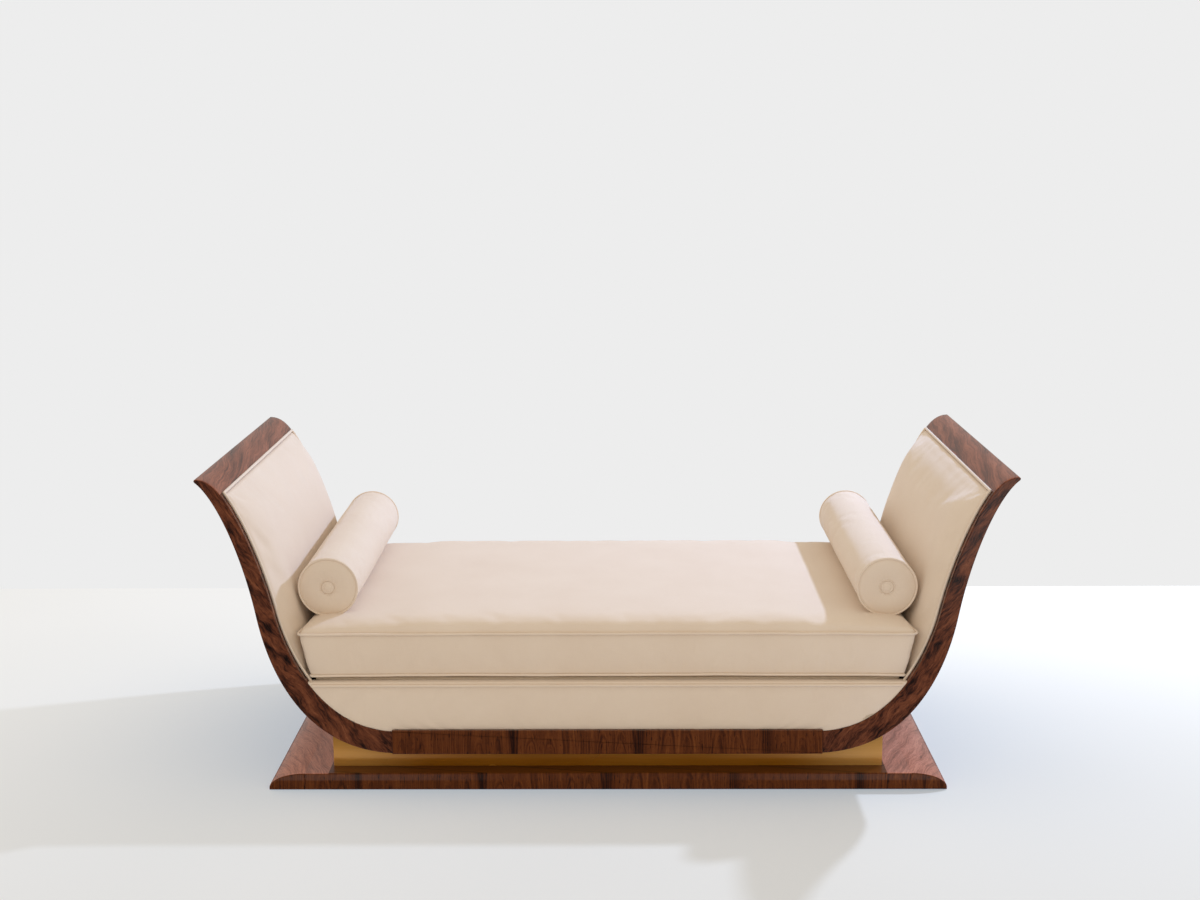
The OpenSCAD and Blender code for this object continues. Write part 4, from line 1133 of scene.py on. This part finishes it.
# %% Seat cushion cover
shares, faces = block_grid(*cushion_grid)
points, hold = [], []
for a, b, level in shares:
    x, y = cushion_plan(toward_seam(a), toward_seam(b), level, welt_radius)
    z = cushion_bottom + (cushion_seam - cushion_bottom) * level
    on_rim = a in (0, 1) or b in (0, 1)
    if level == 1 and not on_rim:
        z += crown_at(x * 0.997, y * 0.997)
    points.append((x, y, z))
    held = level == 0 or (on_rim and level == 1)
    hold.append(1.0 if held else 0.12 if level == 1 else 0.0)
cushion = link_mesh("sewn_seat_cushion", points, faces, cream)
away_x, away_y, heights = np.abs(points)[:, 0], np.abs(points)[:, 1], np.array(points)[:, 2]
from_edge = np.minimum(cushion_half(1) - away_x, cushion_half_depth - away_y)
from_seam = np.minimum(np.abs(heights - cushion_seam), np.abs(heights - cushion_bottom))
freedom = np.clip(np.where(shares[:, 2] == 1, from_edge, from_seam) / seam_hold, 0, 1)
blow_up(cushion, hold, travel=0.0045 * freedom + 0.0002, pressure=2.0, growth=0.005)
smooth_finish(cushion)
box_cloth_uv(cushion)
settle(cushion, "seat_cushion", "upholstery", "cushion_cover", "cushion_core", fill=0.85)
print("cushion faces:", len(cushion.data.polygons))

# %% [markdown]
# ### Welts
#
# A welt is a thin cord in a bias strip of the same cloth, sewn into the seam. Geometry Nodes suit it:
# the seam is a line of points, and the tree turns it into a curve, varies its thickness a little, as the
# gathered bias does, and sweeps a small circle along it.


# %% Welt tree
def start_tree(name, measures):
    """A tree that takes a seam, measures and a cloth. Gives the tree, its inputs and the seam's curve."""
    tree = bpy.data.node_groups.new(name, "GeometryNodeTree")
    face = tree.interface
    face.new_socket("Seam", in_out="INPUT", socket_type="NodeSocketGeometry")
    for label, value in measures.items():
        face.new_socket(label, in_out="INPUT", socket_type="NodeSocketFloat").default_value = value
    face.new_socket("Cloth", in_out="INPUT", socket_type="NodeSocketMaterial")
    face.new_socket("Sewn", in_out="OUTPUT", socket_type="NodeSocketGeometry")
    given = node(tree, "NodeGroupInput").outputs
    return tree, given, node(tree, "GeometryNodeMeshToCurve", {"Mesh": given["Seam"]}).outputs[0]


def end_tree(tree, given, made):
    """Makes the tree's result real and gives it its cloth."""
    made = node(tree, "GeometryNodeRealizeInstances", {"Geometry": made}).outputs[0]
    made = node(tree, "GeometryNodeSetMaterial", {"Geometry": made, "Material": given["Cloth"]}).outputs[0]
    node(tree, "NodeGroupOutput", {"Sewn": made})


welt_nodes, given, curve = start_tree("welt", {"Radius": 0.0026, "Unevenness": 0.12, "Lump length": 0.014})
lumps = node(welt_nodes, "ShaderNodeTexNoise", {
    "Vector": node(welt_nodes, "GeometryNodeInputPosition").outputs[0],
    "Scale": calc(welt_nodes, "DIVIDE", 1.0, given["Lump length"]), "Detail": 1.0}).outputs[0]
lumps = calc(welt_nodes, "MULTIPLY_ADD", calc(welt_nodes, "SUBTRACT", lumps, 0.5), given["Unevenness"], 1.0)
curve = node(welt_nodes, "GeometryNodeSetCurveRadius", {"Curve": curve, "Radius": lumps}).outputs[0]
ring = node(welt_nodes, "GeometryNodeCurvePrimitiveCircle", {"Resolution": 10, "Radius": given["Radius"]})
end_tree(welt_nodes, given, node(welt_nodes, "GeometryNodeCurveToMesh", {
    "Curve": curve, "Profile Curve": ring.outputs[0], "Fill Caps": True}).outputs[0])


def from_tree(name, seams, tree, values):
    """Makes a plain mesh from lines of points and a node tree. A seam is (points, closed)."""
    points, edges = [], []
    for line, closed in seams:
        first = len(points)
        points += [tuple(map(float, p)) for p in line]
        edges += [(first + i, first + i + 1) for i in range(len(line) - 1)]
        if closed:
            edges.append((len(points) - 1, first))
    mesh = bpy.data.meshes.new(name)
    mesh.from_pydata(points, edges, [])
    piece = bpy.data.objects.new(name, mesh)
    scene.collection.objects.link(piece)
    modifier = piece.modifiers.new(tree.name, "NODES")
    modifier.node_group = tree
    for item in tree.interface.items_tree:
        if item.item_type == "SOCKET" and item.in_out == "INPUT" and item.name in values:
            modifier[item.identifier] = values[item.name]
    keep_result(piece, modifier)
    face_outwards(piece.data)
    piece.data.shade_smooth()
    return piece


def welt(name, seams, radius, body, *nodes):
    """A welt along one or more seams."""
    piece = from_tree(name, seams, welt_nodes, {"Radius": radius, "Cloth": cream})
    return settle(piece, body, "upholstery", *nodes)


# %% [markdown]
# The cushion's welts follow the seams in plan. The lower one waves a little, because the cushion's
# weight rests on it. Round the corners the cord can't turn sharply, so its line is rounded there.

# %% Cushion welts
seam_counts = (110, 60)
sharp_turn = math.cos(math.radians(20))


def round_the_rim(counts):
    """Places from -1 to 1 round a square, with a count for the long sides and one for the short."""
    for (s, t), (step_s, step_t) in (((-1, -1), (1, 0)), ((1, -1), (0, 1)),
                                     ((1, 1), (-1, 0)), ((-1, 1), (0, -1))):
        count = counts[0] if step_s else counts[1]
        for i in range(count):
            yield s + 2 * step_s * i / count, t + 2 * step_t * i / count


def rounded_line(points, radius, closed, steps=5):
    """A line whose corners are rounded, where it turns by more than 20 degrees."""
    points = [np.array(p, float) for p in points]
    count = len(points)
    made = []
    for i, p in enumerate(points):
        if not closed and i in (0, count - 1):
            made.append(p)
            continue
        into, out = p - points[i - 1], points[(i + 1) % count] - p
        long_in, long_out = np.linalg.norm(into), np.linalg.norm(out)
        into, out = into / long_in, out / long_out
        if into @ out > sharp_turn:
            made.append(p)
            continue
        reach = min(radius, 0.45 * long_in, 0.45 * long_out)
        start, end = p - into * reach, p + out * reach
        for t in np.arange(steps + 1) / steps:
            made.append((1 - t) ** 2 * start + 2 * (1 - t) * t * p + t * t * end)
    return made


def cushion_seam_line(level, height, wave):
    """The seam's line in plan, with a small wave in its height."""
    runs = []
    for s, t in round_the_rim(seam_counts):
        x, y = cushion_plan(s, t, level)
        runs.append((x, y, height + wave * (noise.noise(Vector((x * 9, y * 9, level * 7))) - 0.1)))
    return rounded_line(runs, 0.010, True)


for seam_name, level, height, wave in (("top", 1, cushion_seam, 0.0010),
                                       ("bottom", 0, cushion_bottom + welt_radius + 0.0008, 0.0014)):
    line = cushion_seam_line(level, height, wave)
    welt(f"cushion_{seam_name}_welt", [(line, True)], shown_welt, "seat_cushion",
         f"cushion_welt_{seam_name}")
    print("points along the", seam_name, "welt:", len(line))

# %% [markdown]
# ### Bolsters
#
# Each bolster is a tube of cloth closed by two round ends, with a welt in each seam and a covered
# button drawn through the middle of each end. The button pulls the cloth into a dimple and into
# fine creases that run out from it. A bolster is heavy and soft, so it lies on a flat strip and
# not on a line. Its back end is a little fuller than its front.

# %% Bolster covers
bolster_around, bolster_along, bolster_rings, welt_around = 96, 62, 15, 90
end_crown, button_dimple, back_reach = 0.007, 0.0095, 0.008
button_radius = 0.018
bolster_sink = 0.003
crease_count, crease_depth = 22, 0.0006
rim_share = 0.985
lying_gap = 0.004


def turns_of(count):
    """Angles once round."""
    return [2 * math.pi * i / count for i in range(count)]


def bolster_measures(side_name):
    """Middle, radius and half length of a bolster."""
    low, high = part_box(f"bolster_cover_{side_name}")
    ends_low, ends_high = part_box(f"bolster_welts_{side_name}")
    return (low + high) / 2, (high.x - low.x) / 2, (ends_high.y - ends_low.y) / 2 - welt_radius


def round_middle(middle, reach, turn, y):
    """Point at a distance from a bolster's axis."""
    return (middle.x + reach * math.sin(turn), y, middle.z - bolster_sink + reach * math.cos(turn))


def fuller_back(end):
    """How much further an end stands out than the front one."""
    return back_reach if end > 0 else 0.0


def end_profile(share, turn, radius, seed):
    """How far an end stands out at a share of its radius, with its creases."""
    button_share = share * radius / button_radius
    unevenness = noise.noise(Vector((math.cos(turn), math.sin(turn), seed)))
    crease = math.sin(turn * crease_count + 2.2 * unevenness)
    fade = math.exp(-((button_share - 1.15) / 0.75) ** 2) if button_share > 0.8 else 0.0
    return (end_crown * (1 - share ** 4) - button_dimple * math.exp(-button_share ** 2 / 1.2)
            - crease_depth * (0.5 + 0.5 * crease) * fade)


def bolster_cover(side, side_name, middle, radius, half):
    """Tube and ends of one bolster, closed, and how firmly each point is held."""
    skin = radius - 0.0004
    points, hold = [], []

    def add(share, turn, y, held):
        points.append(round_middle(middle, skin * share, turn, y))
        hold.append(held)

    n = bolster_around
    for end in (-1, 1):
        for r in range(1, bolster_rings):
            share = r / bolster_rings
            for turn in turns_of(n):
                out = end_profile(share, turn, radius, side * 5 + end) + fuller_back(end) * (1 - share ** 3)
                add(share * rim_share, turn, middle.y + end * (half + out),
                    1.0 if share * radius < button_radius * 1.05 else 0.05)
    tube_start = len(points)
    for k in range(bolster_along + 1):
        run = k / bolster_along
        rim = k in (0, bolster_along)
        fuller = 1 + 0.006 * math.sin(math.pi * run) + 0.012 * run
        for turn in turns_of(n):
            add(rim_share if rim else fuller, turn, middle.y + half * (2 * run - 1), float(rim))
    centre = len(points)
    for end in (-1, 1):
        add(0, 0, middle.y + end * (half + end_profile(0, 0, radius, 0) + fuller_back(end)), 1.0)
    faces = []
    for e, rim_row in enumerate((tube_start, tube_start + bolster_along * n)):
        first = e * (bolster_rings - 1) * n
        rows = [first + r * n for r in range(bolster_rings - 1)] + [rim_row]
        for inner_row, outer_row in zip(rows[:-1], rows[1:]):
            faces += band(inner_row, outer_row, n)
        faces += [(centre + e, first + i, first + (i + 1) % n) for i in range(n)]
    for k in range(bolster_along):
        faces += band(tube_start + k * n, tube_start + (k + 1) * n, n)
    piece = link_mesh(f"sewn_bolster_{side_name}", points, faces, cream)
    face_outwards(piece.data)
    return piece, hold


def lay_on_cushion(piece):
    """Keeps a bolster above the cushion's top, where it flattens."""
    for vertex in piece.data.vertices:
        floor_z = cushion_seam + crown_at(vertex.co.x, vertex.co.y) + 0.0004
        gap = vertex.co.z - floor_z
        if gap < lying_gap:
            vertex.co.z = floor_z + lying_gap * math.exp((gap - lying_gap) / lying_gap)
    piece.data.update()


def bolster_uv(piece, middle, radius):
    """Cloth coordinates: round the tube, and flat on the ends."""
    def rule(face, point):
        if abs(face.normal.y) > 0.7:
            return (point.x, point.z)
        turn = math.atan2(point.x - middle.x, point.z - middle.z)
        centre_turn = math.atan2(face.center.x - middle.x, face.center.z - middle.z)
        if abs(turn - centre_turn) > math.pi:
            turn -= math.copysign(2 * math.pi, turn - centre_turn)
        return (turn * radius, point.y)
    set_uv(piece, "cloth", rule)


for side, side_name in sides:
    middle, radius, half = bolster_measures(side_name)
    piece, hold = bolster_cover(side, side_name, middle, radius, half)
    blow_up(piece, hold, travel=0.0013, pressure=2.5, growth=0.005, frames=14)
    lay_on_cushion(piece)
    smooth_finish(piece)
    bolster_uv(piece, middle, radius)
    settle(piece, f"bolster_{side_name}", "upholstery", f"bolster_cover_{side_name}",
           f"bolster_core_{side_name}", fill=0.9)
    lines = []
    for end in (-1, 1):
        line = [round_middle(middle, radius - welt_radius * 0.5, turn, middle.y + end * (half + 0.0003))
                for turn in turns_of(welt_around)]
        lines.append(([(x, y, max(z, cushion_seam + crown_at(x, y) + welt_radius + 0.0002))
                       for x, y, z in line], True))
    welt(f"bolster_{side_name}_end_welts", lines, shown_welt * 0.95, f"bolster_{side_name}",
         f"bolster_welts_{side_name}")
print("bolster radius:", round(radius, 4), "half length:", round(half, 4))

# %% [markdown]
# The covered buttons are shallow domes: cloth gathered over a metal shell. The gathers show as a
# slight scalloping, and a thin cord closes the seam round each button.

# %% Covered buttons
button_height, button_around, button_steps, gathers = 0.0052, 48, 9, 12
button_sink, button_root = 0.002, 0.004
groove_depth, groove_share = 0.0014, 0.60
rim_reach, rim_radius = 0.0185, 0.0014
for side_name in ("left", "right"):
    middle, radius, half = bolster_measures(side_name)
    button_low, button_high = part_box(f"bolster_buttons_{side_name}")
    n = button_around
    points, faces, rims = [], [], []
    for end in (-1, 1):
        seat = (button_high.y if end > 0 else button_low.y) - end * button_height
        first = len(points)
        for k in range(button_steps):
            lean = math.radians(90 * k / button_steps)
            for turn in turns_of(n):
                gather = 1 - 0.02 * math.cos(gathers * turn) * math.cos(lean) ** 6
                reach = button_radius * 0.94 * math.cos(lean) * gather
                out = button_height * math.sin(lean) - button_sink * (k == 0)
                out += fuller_back(end) - button_sink
                out -= groove_depth * math.exp(-((reach / button_radius - groove_share) / 0.10) ** 2)
                points.append(round_middle(middle, reach, turn, seat + end * out))
        top = len(points)
        points += [round_middle(middle, 0, 0, seat + end * (button_height - button_sink + fuller_back(end))),
                   round_middle(middle, 0, 0, seat - end * button_root)]
        for k in range(button_steps - 1):
            faces += band(first + k * n, first + (k + 1) * n, n)
        last = first + (button_steps - 1) * n
        for i in range(n):
            j = (i + 1) % n
            faces += [(last + i, top, last + j), (first + i, first + j, top + 1)]
        out = end_profile(rim_reach / radius, 0, radius, 0) + fuller_back(end) + 0.0005
        rims.append(([round_middle(middle, rim_reach, turn, middle.y + end * (half + out))
                      for turn in turns_of(n)], True))
    piece = link_mesh(f"covered_buttons_{side_name}", points, faces, cream)
    face_outwards(piece.data)
    set_uv(piece, "cloth", lambda face, point: (point.x, point.z))
    settle(piece, f"bolster_{side_name}", "upholstery", f"bolster_buttons_{side_name}")
    welt(f"button_rims_{side_name}", rims, rim_radius, f"bolster_{side_name}")
print("faces of a pair of buttons:", len(piece.data.polygons))

# %% [markdown]
# ### Arm padding
#
# The inside of each arm is a sheet of wadding under cloth that follows the curve of the frame. It
# swells quickly below the cap, so that its top faces upwards and catches the lamp. Beside the welts
# it stands nearly as high as they do, and near the cap it gathers into faint upright ripples.

# %% Arm pads
pad_thickness, pad_crown = 0.012, 0.029
edge_rise, edge_run = 0.0062, 0.008
crown_run, side_run, foot_run = 0.115, 0.120, 0.17
ripple_run, ripple_height = 0.075, 0.0009
frame_welt_radius = 0.0032
seat_gap = 0.0003
board_layers = pad_thickness + 0.006
low_rows, high_rows, pad_columns = 22, 34, 66
webbing_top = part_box("seat_rail_front")[1].z
t_webbing = where(lambda t: curve_at(inner_low, t)[1] >= webbing_top)
pad_foot = webbing_top + seat_gap + board_layers * heading_at(inner_low, t_webbing)[0]
t_foot = where(lambda t: curve_at(inner_low, t)[1] >= pad_foot)
cap_welt_line = cap_edge - (2 * frame_welt_radius + seat_gap) * cap_heading
t_pad_flat = where(lambda t: (curve_at(inner_high, t) - cap_welt_line) @ cap_heading >= 0)
pad_reach = inside_half - seat_gap
pad_flat_half = pad_reach - frame_welt_radius
pad_stations = ([(inner_low, t_foot + (1 - t_foot) * i / low_rows) for i in range(low_rows + 1)]
                + [(inner_high, t_pad_flat * (1 - (1 - i / high_rows) ** 1.8))
                   for i in range(1, high_rows + 1)]
                + [(inner_high, 1.0)])
pad_places = np.array([curve_at(curve, t) for curve, t in pad_stations])
pad_runs = run_along(pad_places)


def soft_edge(distance, run, power):
    """From 0 at an edge to 1 at the end of a run from it."""
    return 1 - (1 - min(1.0, max(0.0, distance) / run)) ** power


for side, side_name in sides:
    rows = len(pad_stations) - 1
    shares, faces = block_grid(rows, pad_columns, 2)
    points, hold, freedom = [], [], []
    for up_share, across, depth in shares:
        row, column = int(round(up_share * rows)), int(round(across * pad_columns))
        inner_share = min(max(column - 1, 0), pad_columns - 2) / (pad_columns - 2)
        y = pad_flat_half * (2 * ((1 - math.cos(math.pi * inner_share)) / 2) - 1)
        if column in (0, pad_columns):
            y = math.copysign(pad_reach, y)
        from_cap, from_foot = pad_runs[rows - 1] - pad_runs[row], pad_runs[row]
        from_side = pad_flat_half - abs(y)
        crown = (pad_crown * soft_edge(from_cap, crown_run, 1.9) * soft_edge(from_foot, foot_run, 2.0)
                 * soft_edge(from_side, side_run, 2.2))
        crown += edge_rise * soft_edge(min(from_cap, from_side), edge_run, 2.0) * min(1.0, from_foot / 0.05)
        if from_cap < ripple_run:
            fade = (1 - from_cap / ripple_run) * min(1.0, from_cap / 0.012)
            crown += ripple_height * fade * math.sin(y * 260 + 3 * noise.noise(Vector((y * 14, side, 0))))
        gap = -pad_thickness + seat_gap + (pad_thickness - seat_gap + crown) * depth
        x, z = beside(*pad_stations[row], gap)
        points.append((side * x, y, z))
        rim = row in (0, rows - 1, rows) or column in (0, 1, pad_columns - 1, pad_columns)
        hold.append(1.0 if rim or depth < 1 else 0.04)
        from_rim = min(from_side, from_cap, from_foot)
        freedom.append(0.0035 * min(1.0, max(0.0, from_rim) / 0.03) + 0.0002)
    piece = link_mesh(f"sewn_arm_pad_{side_name}", points, faces, cream)
    face_outwards(piece.data)
    blow_up(piece, hold, travel=np.array(freedom), pressure=1.6, growth=0.008, frames=16)
    smooth_finish(piece)
    set_uv(piece, "cloth", lambda face, point: (
        float(np.interp(point.z, pad_places[:, 1], pad_runs)), point.y))
    settle(piece, "frame", "upholstery", f"arm_pad_{side_name}", fill=0.5)

# %% Arm welts
welt_rise = frame_welt_radius + seat_gap + 0.0006
welt_out = inside_half + 0.0016
cap_steps = 60
rail = [beside(curve, t, welt_rise) for curve, t in pad_stations[:-1]]
top = beside(inner_high, 1, welt_rise) - frame_welt_radius * cap_heading
rail = [p for p in rail if (p - top) @ cap_heading < -0.004] + [top]
for side, side_name in sides:
    line = [(side * p[0], -welt_out, p[1]) for p in rail]
    line += [(side * top[0], -welt_out + 2 * welt_out * i / cap_steps, top[1]) for i in range(1, cap_steps)]
    line += [(side * p[0], welt_out, p[1]) for p in rail[::-1]]
    welt(f"arm_{side_name}_welt", [(rounded_line(line, 0.006, False), False)], frame_welt_radius + 0.0004,
         "frame", f"arm_welt_{side_name}")
print("pad rises from", round(float(pad_foot), 3), "to", round(float(cap_edge[1]), 3))

# %% [markdown]
# ### Front and back panels
#
# Between the side frames and the apron the body is covered with a thin padded panel. At its top the
# cloth rolls over a soft edge to the seat platform, with a welt just below the roll.

# %% Panels
panel_foot, panel_top, roll_back = panel_low.z, panel_high.z, panel_high.y
panel_front = -half_depth + 0.003
panel_inner = panel_front + 0.0067
roll_radius = 0.004
roll_foot = webbing_top + seat_gap
window_gap, foot_gap = 0.0005, 0.0004
panel_puff, panel_rows, panel_columns = 0.0022, 14, 150
welt_end, welt_points = 0.003, 141
low_edge = np.array(stretch(inner_low))


def foot_height(x):
    """Height of the panel's foot: the apron's top, and past it the curve of the side frame."""
    if abs(x) < apron_half:
        return panel_foot
    return float(np.interp(abs(x), low_edge[:, 0], low_edge[:, 1])) + foot_gap


roll_z = panel_top - roll_radius
path = [(panel_front, panel_foot + (roll_z - panel_foot) * i / panel_rows) for i in range(panel_rows + 1)]
path += [(panel_front + roll_radius * (1 - math.cos(math.radians(a))),
          roll_z + roll_radius * math.sin(math.radians(a))) for a in range(15, 91, 15)]
path += [(roll_back - 0.008, panel_top), (roll_back, panel_top - 0.001), (roll_back, roll_foot),
         (panel_inner, roll_foot), (panel_inner, (roll_foot + panel_foot) / 2), (panel_inner, panel_foot)]
n = len(path)
for sign, face_name in fronts:
    points, faces, hold = [], [], []
    for i in range(panel_columns + 1):
        s = 2 * i / panel_columns - 1
        for k, (y, z) in enumerate(path):
            x = s * (clear_half_at(z) - window_gap)
            z = min(z, foot_height(x)) if k in (0, n - 1) else z
            swell = 1 - abs(2 * k / panel_rows - 1) ** 4 if k <= panel_rows else 0.0
            points.append((x, (y - panel_puff * swell * (1 - s ** 24)) * -sign, z))
            hold.append(1.0 if i in (0, panel_columns) or k == 0 or k >= panel_rows - 1 else 0.05)
    for i in range(panel_columns):
        faces += [(i * n + k, (i + 1) * n + k, (i + 1) * n + (k + 1) % n, i * n + (k + 1) % n)
                  for k in range(n)]
    faces += [tuple(range(n)), tuple(reversed(range(panel_columns * n, (panel_columns + 1) * n)))]
    piece = link_mesh(f"sewn_panel_{face_name}", points, faces, cream)
    face_outwards(piece.data)
    blow_up(piece, hold, travel=0.0022, pressure=1.2, growth=0.006, frames=12)
    box_cloth_uv(piece)
    piece.data.set_sharp_from_angle(angle=math.radians(60))
    settle(piece, "frame", "upholstery", f"panel_cover_{face_name}", fill=0.4)
    low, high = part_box(f"panel_welt_{face_name}")
    seam = (low + high) / 2
    line = [(low.x + welt_end + (high.x - low.x - 2 * welt_end) * i / (welt_points - 1), seam.y,
             seam.z + 0.0005 * noise.noise(Vector((i * 0.13, sign, 0)))) for i in range(welt_points)]
    welt(f"panel_{face_name}_welt", [(line, False)], frame_welt_radius, "frame", f"panel_welt_{face_name}")
print("panel height:", round(panel_top - panel_foot, 4))

# %% [markdown]
# ### Seat platform
#
# Under the cushion the seat is closed by a padded platform in plain cloth. A border seam runs
# round it, with stitches that Geometry Nodes set out along the seam.

# %% Platform
deck_grid = (90, 52, 3)
edge_round, edge_drop, deck_dent, deck_taper = 0.010, 0.005, 0.0008, 0.002
border, seam_sink, border_steps = 0.085, 0.0003, 20
shares, faces = block_grid(*deck_grid)
points = []
for a, b, c in shares:
    s, t = 2 * a - 1, 2 * b - 1
    near = min((1 - abs(s)) * deck_high.x, (1 - abs(t)) * deck_high.y)
    z = deck_low.z + (deck_high.z - deck_low.z) * c
    if c == 1:
        z -= edge_drop * max(0.0, 1 - near / edge_round) ** 2
        z -= deck_dent * (0.5 + 0.5 * noise.noise(Vector((s * 9, t * 5, 2))))
    points.append((s * deck_high.x * (1 - deck_taper * (1 - c)), t * deck_high.y, z))
piece = link_mesh("sewn_seat_platform", points, faces, platform)
smooth_finish(piece)
box_cloth_uv(piece)
settle(piece, "frame", "platform_cloth", "seat_deck", fill=0.5)

stitch_measures = {"Step": 0.006, "Stitch length": 0.0042, "Thread radius": 0.0005}
stitches, given, curve = start_tree("stitches", stitch_measures)
spots = node(stitches, "GeometryNodeCurveToPoints", {"Curve": curve, "Length": given["Step"]},
             mode="LENGTH")
thread = node(stitches, "GeometryNodeMeshCylinder",
              {"Vertices": 6, "Radius": given["Thread radius"], "Depth": given["Stitch length"]})
end_tree(stitches, given, node(stitches, "GeometryNodeInstanceOnPoints", {
    "Points": spots.outputs["Points"], "Instance": thread.outputs["Mesh"],
    "Rotation": spots.outputs["Rotation"]}).outputs[0])
border_line = [(s * (deck_high.x - border), t * (deck_high.y - border), deck_high.z - seam_sink)
               for s, t in round_the_rim((border_steps, border_steps))]
piece = from_tree("platform_stitches", [(border_line, True)], stitches, {"Cloth": platform})
settle(piece, "frame", "platform_cloth")
print("platform stitches:", len(piece.data.polygons) // 8)
